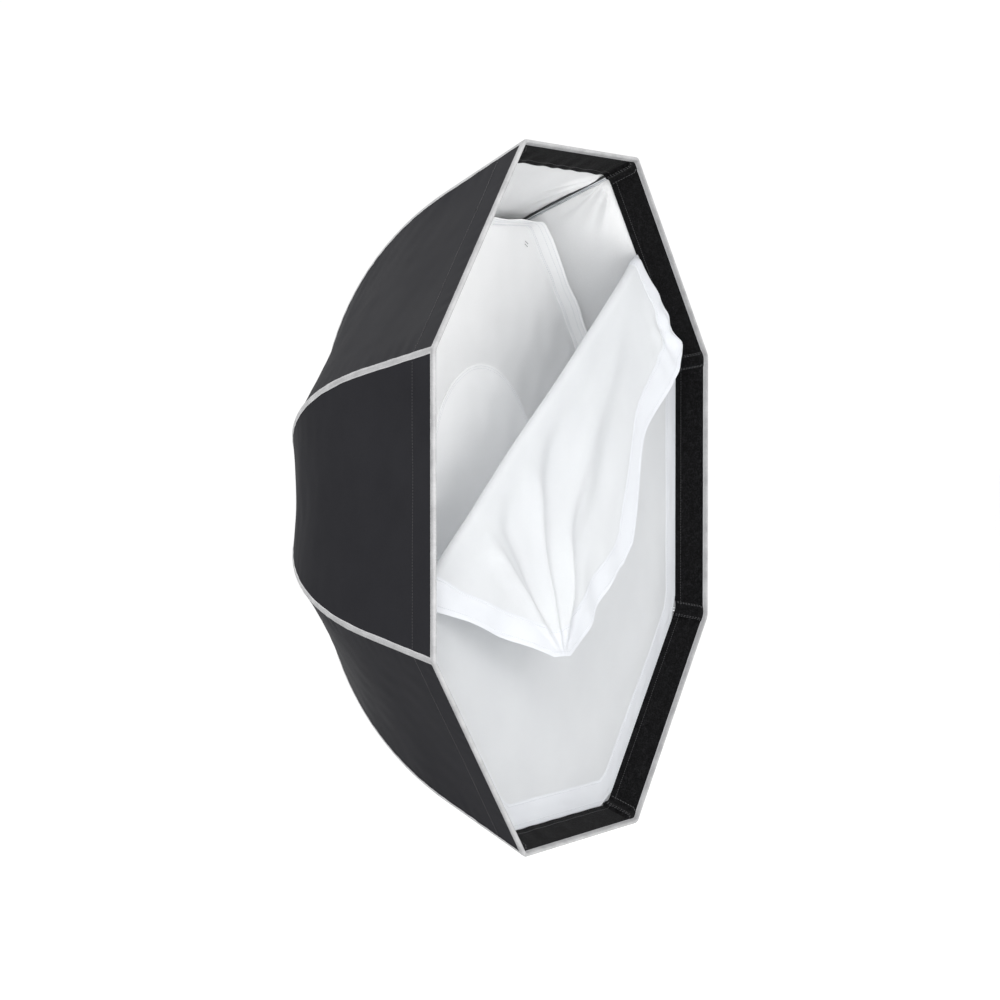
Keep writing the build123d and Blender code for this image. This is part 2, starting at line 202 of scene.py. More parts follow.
OUTLINE = make_outline()
LENGTH = float(OUTLINE[0][-1])


def outline(s):
    """Distance from the axis, y and lean of the outline at s. It runs on straight past both ends."""
    table_s, table_r, table_y, table_lean = OUTLINE
    lean = np.interp(s, table_s, table_lean)
    past = np.minimum(s, 0) + np.maximum(np.asarray(s) - LENGTH, 0)
    r = np.interp(s, table_s, table_r) - past * np.sin(lean)
    y = np.interp(s, table_s, table_y) + past * np.cos(lean)
    return r, y, lean


def s_at_radius(r):
    return float(np.interp(-r, -OUTLINE[1], OUTLINE[0]))


NECK_START = s_at_radius(NECK_START_R)


def directions(angle):
    """Outwards from the axis at that angle from +X, and the direction in which the angle grows."""
    out = np.array((math.cos(angle), 0, math.sin(angle)))
    along = np.array((-math.sin(angle), 0, math.cos(angle)))
    return out, along


def rib_angle(k):
    return HALF + (k - 1) * 2 * HALF


def place(gore, s, f, h):
    """The point of a panel at s, at f of its half width (-1 and 1 are its seams), h outside the outline."""
    out, along = directions(gore * 2 * HALF)
    s, f, h = np.broadcast_arrays(np.asarray(s, float), f, h)
    r, y, lean = outline(s)
    size = np.hypot(COS * np.sin(lean), np.cos(lean))
    flat = COS * r + h * np.cos(lean) / size
    y = y + h * COS * np.sin(lean) / size
    angle = np.arctan(f * TAN)
    circle = smooth((ROUND_SPAN[0] - r) / (ROUND_SPAN[0] - ROUND_SPAN[1]))
    x = (1 - circle) * flat + circle * flat / COS * np.cos(angle)
    t = (1 - circle) * flat * f * TAN + circle * flat / COS * np.sin(angle)
    off_seam = np.abs(1 - np.abs(f)) * flat * SIN
    cut = (1 - circle) * TAN * np.maximum(SEAM_ROUND - off_seam, 0) ** 2 / (2 * SEAM_ROUND)
    x, t = x - cut * COS, t - np.sign(f) * cut * SIN
    return x[..., None] * out + t[..., None] * along + y[..., None] * AXIS


def half_width(s):
    """How far a panel's middle line is from the plane of a rib."""
    return COS * outline(s)[0] * SIN


def share_at(s, off_seam):
    """The f at which a panel is off_seam away from the rib's plane."""
    return 1 - off_seam / half_width(s)


def beside_rib(k, rows, off):
    """The panel on which a line off from rib k's plane lies, and the line's f."""
    positive = np.mean(off) >= 0
    return (k, -share_at(rows, off)) if positive else (k - 1, share_at(rows, -off))


def surface(gore, s, f, height):
    """Points and outward normals of the cloth whose height above the outline is height(gore, s, f)."""
    s, f = np.broadcast_arrays(np.asarray(s, float), f)
    ds, df = 0.8 * MM, 0.003

    def point(s, f):
        return place(gore, s, f, height(gore, s, f))

    down = point(s + ds, f) - point(s - ds, f)
    across = point(s, np.minimum(f + df, 1)) - point(s, np.maximum(f - df, -1))
    normals = unit(np.cross(down, across))
    out = directions(gore * 2 * HALF)[0]
    facing = np.sign((normals @ (out + 0.5 * AXIS)).mean() or 1)
    return point(s, f), normals * facing


def cloth_line(gore, s, f, height, lift):
    """Points and normals of a line that lies lift above a cloth."""
    return surface(gore, s, f, lambda g, a, b: height(g, a, b) + lift)


# ---- How the shell's cloth lies between the ribs ----


def seam_distance(s, f):
    return (1 - np.abs(f)) * half_width(s)


def outer_height(gore, s, f):
    """The black cloth: pulled in a little in the middle, and puckered along the seams."""
    off = seam_distance(s, f)
    side = np.sign(f)
    pull = smooth(s / (150 * MM)) * smooth((NECK_START - s + 40 * MM) / (170 * MM))
    sag = -SAG * (1 - f * f) * pull
    x = f * half_width(s)
    pucker = ripple(11 * gore + 3, s, side * 1.3, 21 * MM, 5, 0.6, 0.0, 0.5)
    pucker = pucker * 0.17 * MM * (off / (9 * MM)) * np.exp(1 - off / (9 * MM))
    drag = ripple(7 * gore + 1, s, x, 120 * MM, 6, 0.8) * 0.5 * MM
    fine = ripple(5 * gore + 2, s, x, 42 * MM, 6, 0.8) * 0.12 * MM
    open_cloth = smooth(off / (45 * MM)) * smooth(s / (60 * MM)) * smooth((NECK_START - s) / (60 * MM))
    rim_pucker = ripple(3 * gore, x, 0.0, 19 * MM, 5, 0.6, 0.0, 0.4) * 0.16 * MM
    near_rim = np.exp(-((np.maximum(s, 0) - 16 * MM) / (9 * MM)) ** 2)
    rim_pucker = rim_pucker * near_rim * smooth(off / (12 * MM))
    knee = np.exp(-((s - 200 * MM) / (110 * MM)) ** 2)
    slant = ripple(gore + 70, s + 0.6 * np.abs(x), s - x, 60 * MM, 4, 0.5, math.pi / 4, 0.5)
    slant = slant * 0.16 * MM * knee * smooth(off / (10 * MM)) * np.exp(-off / (60 * MM))
    return sag + pucker + (drag + fine) * open_cloth + rim_pucker + slant


def gathers(gore, side, off, below):
    """Soft folds of the lining that fan out from a rib's end, at angles that differ from corner to corner."""
    draw = np.random.default_rng(17 * gore + 5 + 200 * (side > 0))
    far = np.hypot(off, below)
    angle = np.arctan2(off, below)
    total = 0.0
    for middle in GATHER_ANGLES:
        middle = middle + 0.12 * (draw.random() - 0.5)
        width = 0.075 + 0.04 * draw.random()
        height = (3.4 + 2.2 * draw.random()) * MM
        total = total + height * np.exp(-(((angle - middle) / width) ** 2))
    return total * smooth((far - 6 * MM) / (24 * MM)) * smooth((GATHER_END - far) / (95 * MM))


def inner_height(gore, s, f):
    """The silver lining: under the black cloth, and gathered towards the rim's corners."""
    off = seam_distance(s, f)
    x = f * half_width(s)
    below = np.maximum(s - LIP_W + 8 * MM, 0)
    free = smooth((s - LIP_W) / (14 * MM))
    folded = np.where(f > 0, gathers(gore, 1, off, below), gathers(gore, -1, off, below))
    folds = (1 + ripple(9 * gore, s, x, 75 * MM, 6, 0.8)) * 0.4 * MM * smooth(off / (20 * MM))
    folds = folds * smooth((NECK_START - s) / (60 * MM))
    loose = folded * smooth(off / (12 * MM)) + np.maximum(folds, 0)
    return outer_height(gore, s, f) - SHELL_T - free * loose


def lip_inset(s, off):
    """How far inside the outline the lip's hidden face lies: it rises as a pocket over each rib's end."""
    over = 1 - smooth((off - POCKET_HALF[0]) / (POCKET_HALF[1] - POCKET_HALF[0]))
    return LIP_INSET + (POCKET_INSET - LIP_INSET) * over * smooth((s - POCKET_START) / (4.5 * MM))


def lip_waves(gore, s, f):
    off = seam_distance(s, f)
    x = f * half_width(s)
    wave = 0.6 * MM * (1 + ripple(gore + 40, x, 0.0, 46 * MM, 5, 0.7, 0.0, 0.4))
    return wave * smooth((off - 10 * MM) / (30 * MM)) * smooth((s - 8 * MM) / (20 * MM))


def lip_outer(gore, s, f):
    return -lip_inset(s, seam_distance(s, f)) - lip_waves(gore, s, f)


def lip_inner(gore, s, f):
    return lip_outer(gore, s, f) - LIP_T


# ---- Meshes ----

SHARP = math.radians(50)  # between faces, from which their edge shows


def make_object(name, vertices, faces, materials, face_material=None, loop_uv=None, loop_normals=None):
    mesh = bpy.data.meshes.new(name)
    mesh.from_pydata(np.asarray(vertices, float).tolist(), [], faces)
    for material in materials:
        mesh.materials.append(material)
    if face_material is not None:
        mesh.polygons.foreach_set("material_index", np.asarray(face_material, np.int32))
    if loop_uv is not None:
        mesh.uv_layers.new(name="UVMap").data.foreach_set("uv", np.asarray(loop_uv, np.float32).ravel())
    mesh.polygons.foreach_set("use_smooth", np.ones(len(mesh.polygons), bool))
    if loop_normals is not None:
        mesh.normals_split_custom_set(np.asarray(loop_normals, float).tolist())
    mesh.update()
    made = bpy.data.objects.new(name, mesh)
    bpy.context.scene.collection.objects.link(made)
    return made


def grid_faces(rows, columns):
    """Quads over a grid of rows x columns vertices."""
    r, c = np.meshgrid(np.arange(rows - 1), np.arange(columns - 1), indexing="ij")
    a = (r * columns + c).ravel()
    return np.stack([a, a + 1, a + columns + 1, a + columns], 1).tolist()


def two_sided(name, top, under, faces, uv, materials, normals=None):
    """A thin closed piece: faces over the top points, the same over the others, and a wall round the edge.

    materials are those of its top, its underside and its wall, and normals those of its two sides.
    """
    count = len(top)
    edges = dict.fromkeys((a, b) for face in faces for a, b in zip(face, face[1:] + face[:1]))
    wall = [[b, a, a + count, b + count] for a, b in edges if (b, a) not in edges]
    lower = [[v + count for v in face[::-1]] for face in faces]
    whole = faces + lower + wall
    a, b, c = faces[len(faces) // 2][:3]
    if np.cross(top[b] - top[a], top[c] - top[a]) @ (top - under)[a] < 0:
        whole = [face[::-1] for face in whole]
    loops = np.concatenate([np.asarray(face) for face in whole])
    loop_normals = None
    if normals is not None:
        loop_normals = np.concatenate(normals)[loops]
        loop_normals[len(loops) - 4 * len(wall):] = 0
    kept = list(dict.fromkeys(materials))
    slots = np.repeat([kept.index(m) for m in materials], [len(faces), len(lower), len(wall)])
    vertices = np.concatenate([top, under])
    made = make_object(name, vertices, whole, kept, slots, uv[loops % count], loop_normals)
    if normals is None:
        made.data.set_sharp_from_angle(angle=SHARP)
    return made


def slab(name, top, under, uv, materials, *normals):
    """A thin closed piece between two grids of points, with normals for both or for neither."""
    faces = grid_faces(*top.shape[:2])
    top, under, uv, *normals = (grid.reshape(-1, grid.shape[-1]) for grid in (top, under, uv, *normals))
    return two_sided(name, top, under, faces, uv, materials, normals or None)


def cloth_object(name, where, flat, faces, thick, material, offset=0.0):
    """A thin closed piece over flat points that where puts in place. faces is one side of it."""
    points, normals = where(flat), cloth_normals(where, flat)
    top = points + normals * (offset + thick / 2)
    under = points + normals * (offset - thick / 2)
    return two_sided(name, top, under, faces, flat, [material] * 3, (normals, -normals))


def cloth_normals(where, flat_points):
    """Normals of the cloth that where puts in place, by small steps."""
    step = 0.7 * MM
    dx, dz = np.array((step, 0)), np.array((0, step))
    across = where(flat_points + dx) - where(flat_points - dx)
    up = where(flat_points + dz) - where(flat_points - dz)
    return unit(np.cross(up, across))


def tube_of_sections(name, sections, uv, material):
    """A closed piece swept from closed sections: an array of stations x points. Its two ends are capped."""
    stations, points = sections.shape[:2]
    vertices = sections.reshape(-1, 3)
    ring = np.arange(stations - 1)[:, None] * points
    a = (ring + np.arange(points)).ravel()
    b = (ring + np.roll(np.arange(points), -1)).ravel()
    faces = np.stack([a, b, b + points, a + points], 1)
    middle = sections.mean(1)
    probe = len(faces) // 2
    corner = vertices[faces[probe]]
    facing = np.cross(corner[2] - corner[0], corner[3] - corner[1])
    flip = facing @ (corner.mean(0) - middle[min(probe // points, stations - 1)]) < 0
    caps = [list(range(points))[::-1], list(range((stations - 1) * points, stations * points))]
    faces = faces.tolist() + caps
    if flip:
        faces = [face[::-1] for face in faces]
    index = np.concatenate([np.asarray(face) for face in faces])
    made = make_object(name, vertices, faces, [material], None, uv.reshape(-1, 2)[index])
    made.data.set_sharp_from_angle(angle=SHARP)
    return made


def read_line(at, lengths, values):
    return np.stack([np.interp(at, lengths, values[:, i]) for i in range(3)], 1)


def along_line(points, pitch):
    """Points every pitch along a line, with the line's direction there."""
    points = np.asarray(points, float)
    lengths = np.concatenate([[0], np.cumsum(np.linalg.norm(np.diff(points, axis=0), axis=1))])
    count = max(int(lengths[-1] / pitch), 1)
    at = (np.arange(count) + 0.5) * lengths[-1] / count
    step = 0.3 * pitch
    ahead = unit(read_line(at + step, lengths, points) - read_line(at - step, lengths, points))
    return at, read_line(at, lengths, points), ahead, lengths


# Of each ring of a stitch: its place along it, as a share of its length, and its share of the width
STITCH_RINGS = ((-0.46, 0.55), (-0.3, 0.95), (0.0, 1.0), (0.3, 0.95), (0.46, 0.55))
STITCH_SIDES = 6


def stitches(name, lines, material, width=STITCH_WIDTH, pitch=STITCH_PITCH, length=STITCH_LENGTH):
    """Raised thread along lines of (points, normals): one mesh of small rounded stitches."""
    turn = 2 * math.pi * np.arange(STITCH_SIDES)[:, None] / STITCH_SIDES
    run, size = (np.array(column)[:, None, None] for column in zip(*STITCH_RINGS))
    rows = []
    for points, normals in lines:
        at, middle, ahead, lengths = along_line(points, pitch)
        up = unit(read_line(at, lengths, np.asarray(normals, float)))
        side = unit(np.cross(ahead, up))
        middle, ahead, up, side = (v[:, None, None, :] for v in (middle, ahead, up, side))
        around = side * np.cos(turn) * width * size + up * np.sin(turn) * width * 0.8 * size
        rows.append((middle + ahead * run * length + around).reshape(-1, 3))
    vertices = np.concatenate(rows)
    count = len(STITCH_RINGS) * STITCH_SIDES
    one = []
    for a in range(count - STITCH_SIDES):
        d = a + 1 - STITCH_SIDES * ((a + 1) % STITCH_SIDES == 0)
        one.append([a, a + STITCH_SIDES, d + STITCH_SIDES, d])
    one += [list(range(STITCH_SIDES)), list(range(count - 1, count - 1 - STITCH_SIDES, -1))]
    faces = [[start + v for v in face] for start in range(0, len(vertices), count) for face in one]
    return make_object(name, vertices, faces, [material])


# ---- Materials ----


class Graph:
    """A material's nodes, with short calls to add and join them."""

    def __init__(self, name):
        self.material = bpy.data.materials.new(name)
        self.material.use_nodes = True
        self.nodes = self.material.node_tree.nodes
        self.links = self.material.node_tree.links
        self.shader = self.nodes["Principled BSDF"]

    def put(self, value, socket):
        """Joins another socket to this one, or gives it a constant."""
        if isinstance(value, bpy.types.NodeSocket):
            self.links.new(value, socket)
        else:
            socket.default_value = value

    def node(self, kind, inputs=None, **settings):
        made = self.nodes.new("ShaderNode" + kind)
        for key, value in settings.items():
            setattr(made, key, value)
        for key, value in (inputs or {}).items():
            self.put(value, made.inputs[key])
        return made

    def coordinates(self, kind):
        """Texture coordinates: UV or Object."""
        return self.node("TexCoord").outputs[kind]

    def math(self, operation, a, b=None):
        inputs = {0: a} if b is None else {0: a, 1: b}
        return self.node("Math", inputs, operation=operation).outputs[0]

    def total(self, *parts):
        """The sum of sockets, each times its factor."""
        result = None
        for socket, factor in parts:
            term = self.math("MULTIPLY", socket, factor)
            result = term if result is None else self.math("ADD", result, term)
        return result

    def set(self, **values):
        for key, value in values.items():
            self.put(value, self.shader.inputs[key.replace("_", " ")])

    def noise(self, vector, scale, detail, roughness=0.55):
        inputs = {"Vector": vector, "Scale": scale, "Detail": detail, "Roughness": roughness}
        return self.node("TexNoise", inputs).outputs["Fac"]

    def ramp(self, factor, *stops):
        made = self.node("ValToRGB", {"Fac": factor})
        ramp = made.color_ramp
        while len(ramp.elements) < len(stops):
            ramp.elements.new(0.5)
        for element, (position, colour) in zip(ramp.elements, stops):
            element.position = position
            element.color = (*colour, 1)
        return made.outputs["Color"]

    def span(self, value, low, high, to_low, to_high):
        names = ("Value", "From Min", "From Max", "To Min", "To Max")
        inputs = dict(zip(names, (value, low, high, to_low, to_high)))
        return self.node("MapRange", inputs).outputs[0]

    def bump(self, height, strength, distance, normal=None):
        inputs = {"Height": height, "Strength": strength, "Distance": distance}
        if normal is not None:
            inputs["Normal"] = normal
        return self.node("Bump", inputs).outputs["Normal"]

    def mix(self, factor, a, b):
        """A colour socket a, turned towards the plain colour b by a factor."""
        return self.node("Mix", {0: factor, 6: a, 7: (*b, 1)}, data_type="RGBA").outputs[2]


def weave_height(g, uv, pitch):
    """A plain weave: threads that pass over and under each other, with some unevenness."""
    parts = g.node("SeparateXYZ", {0: uv})
    wobble = g.noise(uv, 60.0, 2.0)
    across, along = (g.total((parts.outputs[i], math.pi / pitch), (wobble, 1)) for i in (0, 1))
    return g.math("MULTIPLY", g.math("SINE", across), g.math("SINE", along))


def let_through(g, colour, share):
    """Thin cloth: a share of the light behind it comes through."""
    through = g.node("BsdfTranslucent", {"Color": colour}).outputs[0]
    mixed = g.node("MixShader", {0: share, 1: g.shader.outputs[0], 2: through}).outputs[0]
    g.links.new(mixed, g.nodes["Material Output"].inputs["Surface"])


def cloth_material(
    name, dark, light, pitch, bump, rough, specular=0.3, sheen=0.1, metallic=0.0, thin=0.0, ior=1.5
):
    """Woven cloth: two tones of mottling, a weave in colour and bump, gloss that follows the mottling, and a
    soft sheen.
    """
    g = Graph(name)
    uv = g.coordinates("UV")
    weave = weave_height(g, uv, pitch)
    large = g.noise(uv, 9.0, 4.0)
    fine = g.noise(uv, 420.0, 2.0)
    colour = g.ramp(g.total((weave, 0.1), (fine, 0.35), (large, 1)), (0.4, dark), (0.95, light))
    g.set(Base_Color=colour)
    if thin:
        let_through(g, colour, thin)
    g.set(Roughness=g.span(large, 0.3, 0.7, rough - 0.05, rough + 0.05))
    relief = g.bump(weave, bump, 0.15 * MM)
    g.set(Normal=g.bump(fine, bump * 0.6, 0.2 * MM, relief))
    g.set(Specular_IOR_Level=specular, IOR=ior, Sheen_Weight=sheen, Sheen_Roughness=0.45, Metallic=metallic)
    return g.material


def lip_material():
    """Brushed black loop cloth: short curled pile with light flecks."""
    g = Graph("black_loop_cloth")
    uv = g.coordinates("UV")
    pile = g.node("TexVoronoi", {"Vector": uv, "Scale": 620.0}, feature="F1").outputs["Distance"]
    clump = g.noise(uv, 170.0, 4.0, 0.7)
    tone = g.math("MULTIPLY", pile, clump)
    g.set(Base_Color=g.ramp(tone, (0.12, (0.001, 0.001, 0.0011)), (0.55, (0.013, 0.013, 0.014))))
    relief = g.bump(clump, 0.5, 0.8 * MM)
    g.set(Normal=g.bump(pile, 0.6, 0.5 * MM, relief))
    g.set(Roughness=0.92, Specular_IOR_Level=0.05, Sheen_Weight=0.02, Sheen_Roughness=0.5)
    return g.material


TAPE_HIGHLIGHT_PITCH = 9.6 * MM  # between the painted highlights along a tape's two edges, across it


def tape_material(name, dark, light, pitch=1.5 * MM):
    """Grosgrain binding: fine ribs across the tape, a painted highlight along its edges, and soiling."""
    g = Graph(name)
    uv = g.coordinates("UV")
    parts = g.node("SeparateXYZ", {0: uv})
    ribs = g.math("SINE", g.math("MULTIPLY", parts.outputs[1], 2 * math.pi / pitch))
    # Painted highlight: the tape's colour is lighter along both edges of its top face.
    edges = g.math("COSINE", g.math("MULTIPLY", parts.outputs[0], 2 * math.pi / TAPE_HIGHLIGHT_PITCH))
    soil = g.noise(uv, 30.0, 5.0, 0.65)
    fine = g.noise(uv, 500.0, 2.0)
    tone = g.total((ribs, 0.05), (edges, 0.16), (fine, 0.25), (soil, 1))
    g.set(Base_Color=g.ramp(tone, (0.38, dark), (0.9, light)))
    g.set(Normal=g.bump(fine, 0.25, 0.2 * MM, g.bump(ribs, 0.5, 0.2 * MM)))
    g.set(Roughness=0.62, Specular_IOR_Level=0.4, Sheen_Weight=0.1, Sheen_Roughness=0.4)
    return g.material


def thread_material(name, colour):
    g = Graph(name)
    inputs = {"Vector": g.coordinates("Object"), "Scale": 900.0, "Distortion": 2.0}
    twist = g.node("TexWave", inputs).outputs["Fac"]
    darker = tuple(0.7 * c for c in colour)
    g.set(Base_Color=g.ramp(twist, (0.2, darker), (0.8, colour)))
    g.set(Normal=g.bump(twist, 0.4, 0.1 * MM), Roughness=0.5, Specular_IOR_Level=0.45)
    return g.material


# Off a rib's plane: where the painted shade along its rod's edge starts and is full, and the same for the
# painted shade in its groove
ROD_EDGE = (2.9 * MM, 3.3 * MM)
ROD_GROOVE = (0.5 * MM, 1.2 * MM)


def rod_painted_shade(g, spot):
    """Painted shade on the rods: 1 in a dark line along the two edges of every rod, half of that in its
    groove, and 0 between.
    """
    parts = g.node("SeparateXYZ", {0: spot})
    turn = g.math("ARCTAN2", parts.outputs[2], parts.outputs[0])
    turn = g.math("SUBTRACT", g.math("FLOORED_MODULO", turn, 2 * HALF), HALF)
    flat = g.node("VectorMath", {0: spot, 1: (1, 0, 1)}, operation="MULTIPLY").outputs["Vector"]
    reach = g.node("VectorMath", {0: flat}, operation="LENGTH").outputs["Value"]
    off = g.math("ABSOLUTE", g.math("MULTIPLY", g.math("SINE", turn), reach))
    edge = g.span(off, *ROD_EDGE, 0.0, 1.0)
    groove = g.span(off, *ROD_GROOVE, 0.5, 0.0)
    return g.math("MAXIMUM", edge, groove)


def hard_material(
    name, colour, worn, rough, metallic, grain=None, wear=0.5, speck=900.0, bump=0.12, lines=None
):
    """Metal or moulded plastic: grain or fine texture, worn lighter edges and faint scratches."""
    g = Graph(name)
    spot = g.coordinates("Object")
    bevel = g.node("Bevel", {"Radius": 0.45 * MM}, samples=4).outputs["Normal"]
    flat = g.node("NewGeometry").outputs["Normal"]
    dot = g.node("VectorMath", {0: bevel, 1: flat}, operation="DOT_PRODUCT").outputs["Value"]
    edge = g.span(dot, 0.97, 0.8, 0.0, 1.0)
    patchy = g.span(g.noise(spot, 140.0, 4.0, 0.7), 0.45, 0.65, 0.0, 1.0)
    worn_share = g.math("MULTIPLY", g.math("MULTIPLY", edge, patchy), wear)
    cloud = g.noise(spot, 45.0, 5.0, 0.6)
    body = g.ramp(cloud, (0.3, tuple(0.82 * c for c in colour)), (0.7, colour))
    body = g.mix(worn_share, body, worn)
    # Painted shade: where lines gives 1, the colour is darkened towards 0.12 of itself; the rods use this for
    # their edges and groove.
    if lines:
        body = g.mix(lines(g, spot), body, tuple(0.12 * c for c in colour))
    g.set(Base_Color=body)
    texture = g.noise(spot, speck, 2.0)
    if grain is not None:
        stretched = g.node("Mapping", {"Vector": spot, "Scale": grain}).outputs["Vector"]
        texture = g.noise(stretched, 60.0, 4.0, 0.7)
    g.set(Roughness=g.span(g.math("ADD", cloud, texture), 0.7, 1.3, rough - 0.07, rough + 0.09))
    g.set(Normal=g.bump(texture, bump, 0.15 * MM, bevel), Metallic=metallic, Specular_IOR_Level=0.5)
    return g.material


MATERIALS = {
    "shell": cloth_material(
        "black_satin_nylon", (0.0155, 0.0155, 0.0178), (0.0217, 0.0217, 0.0245), 0.9 * MM, 0.12, 0.46,
        specular=0.18, sheen=0.0, ior=1.06
    ),
    "lining": cloth_material(
        "silver_white_lining", (0.72, 0.725, 0.73), (0.79, 0.795, 0.8), 1.1 * MM, 0.1, 0.42,
        specular=0.5, metallic=0.2
    ),
    "lip": lip_material(),
    "tape": tape_material("grey_binding_tape", (0.25, 0.25, 0.255), (0.46, 0.46, 0.465)),
    "black_tape": tape_material("black_binding_tape", (0.008, 0.008, 0.009), (0.02, 0.02, 0.022)),
    "grey_thread": thread_material("grey_thread", (0.36, 0.36, 0.37)),
    "dim_thread": thread_material("dim_thread", (0.09, 0.09, 0.095)),
    "dark_thread": thread_material("dark_thread", (0.03, 0.03, 0.032)),
    "white_thread": thread_material("white_thread", (0.82, 0.84, 0.88)),
    "diffuser": cloth_material(
        "white_diffuser_nylon", (0.85, 0.86, 0.872), (0.9, 0.91, 0.918), 1.0 * MM, 0.08, 0.62, thin=0.56
    ),
    "hem": cloth_material(
        "white_hem_cloth", (0.84, 0.855, 0.885), (0.9, 0.915, 0.94), 1.3 * MM, 0.15, 0.66, thin=0.42
    ),
    "baffle": cloth_material(
        "white_baffle_nylon", (0.86, 0.865, 0.87), (0.91, 0.915, 0.92), 1.0 * MM, 0.08, 0.6, thin=0.1
    ),
    "patch": cloth_material("white_patch_nylon", (0.9, 0.905, 0.91), (0.95, 0.955, 0.96), 1.0 * MM, 0.1, 0.6),
    "elastic": tape_material("white_elastic", (0.66, 0.67, 0.69), (0.8, 0.81, 0.83), 1.1 * MM),
}
SHELL_LOOKS = [MATERIALS["shell"], MATERIALS["lining"], MATERIALS["shell"]]
LIP_LOOKS = [MATERIALS["lip"]] * 3

HARD = {
    "mount_metal": hard_material(
        "satin_aluminium", (0.5, 0.51, 0.53), (0.75, 0.76, 0.78), 0.32, 1.0, grain=(1, 14, 1), wear=0.6
    ),
    "hub_metal": hard_material(
        "black_powder_coat", (0.022, 0.022, 0.024), (0.2, 0.2, 0.21), 0.55, 0.0, speck=1400.0, bump=0.3
    ),
    "steel": hard_material("plated_steel", (0.42, 0.42, 0.43), (0.7, 0.7, 0.7), 0.3, 1.0, grain=(8, 8, 1)),
    # The rod's colour carries painted shade along each rod's edges and in its groove.
    "rod_metal": hard_material(
        "drawn_rod", (0.86, 0.88, 0.9), (0.93, 0.94, 0.95), 0.34, 1.0, grain=(10, 1, 10), lines=rod_painted_shade
    ),
    "black_plastic": hard_material(
        "moulded_black", (0.018, 0.018, 0.019), (0.08, 0.08, 0.085), 0.48, 0.0,
        wear=0.6, speck=700.0, bump=0.25
    ),
    "slip_plastic": hard_material(
        "slip_ring_plastic", (0.72, 0.71, 0.67), (0.85, 0.85, 0.82), 0.4, 0.0, wear=0.3, speck=500.0
    ),
}


# ---- Riding the frame ----


def ride_wing(piece, k):
    """The piece moves with rib k and gets a mesh of its own."""
    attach(piece, f"rib_{k}")
    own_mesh(piece)


def wing_grid(k, side, rows, columns):
    """The panel, and the s and f of a grid from the panel's middle line to the edge beside rib k."""
    share = np.linspace(0, 1, columns) ** 0.85
    return panel_beside(k, side), rows[:, None], -side * share[None, :] * share_at(rows, SPINE)[:, None]


def panel_beside(k, side):
    return k if side > 0 else k - 1


def wing_name(start, k, side):
    return f"{start}_{k}_{'ab'[side > 0]}"


def zone_rows(start, end, step=ROW_STEP):
    return np.linspace(start, end, max(int(round((end - start) / step)), 1) + 1)


def ridge_slab(name, k, rows, offs, top, under, looks):
    """A slab of cloth that lies over rib k, between two heights."""
    grids = []
    for height in (top, under):
        lines = []
        for off in offs:
            gore, f = beside_rib(k, rows, off)
            lines.append(place(gore, rows, f, height(gore, rows, f)))
        grids.append(np.stack(lines, 1))
    piece = slab(name, *grids, grid_uv(offs, rows), looks)
    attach(piece, f"rib_{k}")
    return piece


def sew(name, lines, thread, body, **sizes):
    """A row of stitches that rides on a body."""
    sewn = stitches(name, lines, MATERIALS[thread], **sizes)
    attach(sewn, body)
    return sewn


# ---- The shell ----

ZONES = [s * MM for s in ZONE_ENDS] + [NECK_START]
PANEL_APART = 0.7  # between the panels' texture coordinates, so that no two look the same


def cloth_slab(name, gore, s, f, top, under, materials):
    upper, upper_n = surface(gore, s, f, top)
    lower, lower_n = surface(gore, s, f, under)
    s, f = np.broadcast_arrays(s, f)
    uv = np.stack([f * half_width(s) + gore * PANEL_APART, s], -1)
    return slab(name, upper, lower, uv, materials, upper_n, -lower_n)


def make_wing(k, side, zone):
    """A strip across half a panel. It rides on rib k."""
    start, end = ZONES[zone], ZONES[zone + 1]
    step = GATHER_STEP if start < GATHER_END else ROW_STEP
    gore, s, f = wing_grid(k, side, zone_rows(start, end, step), WING_COLUMNS)
    name = f"{wing_name('shell_cloth', k, side)}_{zone}"
    piece = cloth_slab(name, gore, s, f, outer_height, inner_height, SHELL_LOOKS)
    ride_wing(piece, k)
    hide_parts(f"shell_panel_{(gore - 1) % RIB_COUNT + 1}")


def make_spine(k):
    """The cloth along a rib, under the tape and over the rod."""
    rows = np.unique(np.concatenate([zone_rows(a, b) for a, b in zip(ZONES, ZONES[1:])]).round(7))
    piece = ridge_slab(f"shell_seam_{k}", k, rows, SPINE_OFFS, outer_height, inner_height, SHELL_LOOKS)


def make_neck(k, side):
    """The cloth between the hub and a rib's first hold."""
    gore = panel_beside(k, side)
    rows = zone_rows(NECK_START, s_at_radius(NECK_END_R), 3 * MM)
    f = -side * np.linspace(0, 1, 15)[None, :]
    name = wing_name("shell_neck_cloth", k, side)
    piece = cloth_slab(name, gore, rows[:, None], f, outer_height, neck_inside, SHELL_LOOKS)
    blend_neck(piece)
    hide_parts("shell_neck")


def blend_neck(piece):
    """Bakes the piece's placement into its mesh."""
    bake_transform(piece)


def neck_inside(gore, s, f):
    return outer_height(gore, s, f) - SHELL_T


# (distance from the axis, y) of the collar's section in mm, outside and then inside
COLLAR = (
    (82.6, -10.2), (82.6, -8.2), (83.4, -7.0), (86.5, -7.5),
    (90.5, -8.6), (91.2, -9.4), (90.6, -10), (86, -9.4),
)
COLLAR_SEAM = (88.6 * MM, -7.85 * MM)


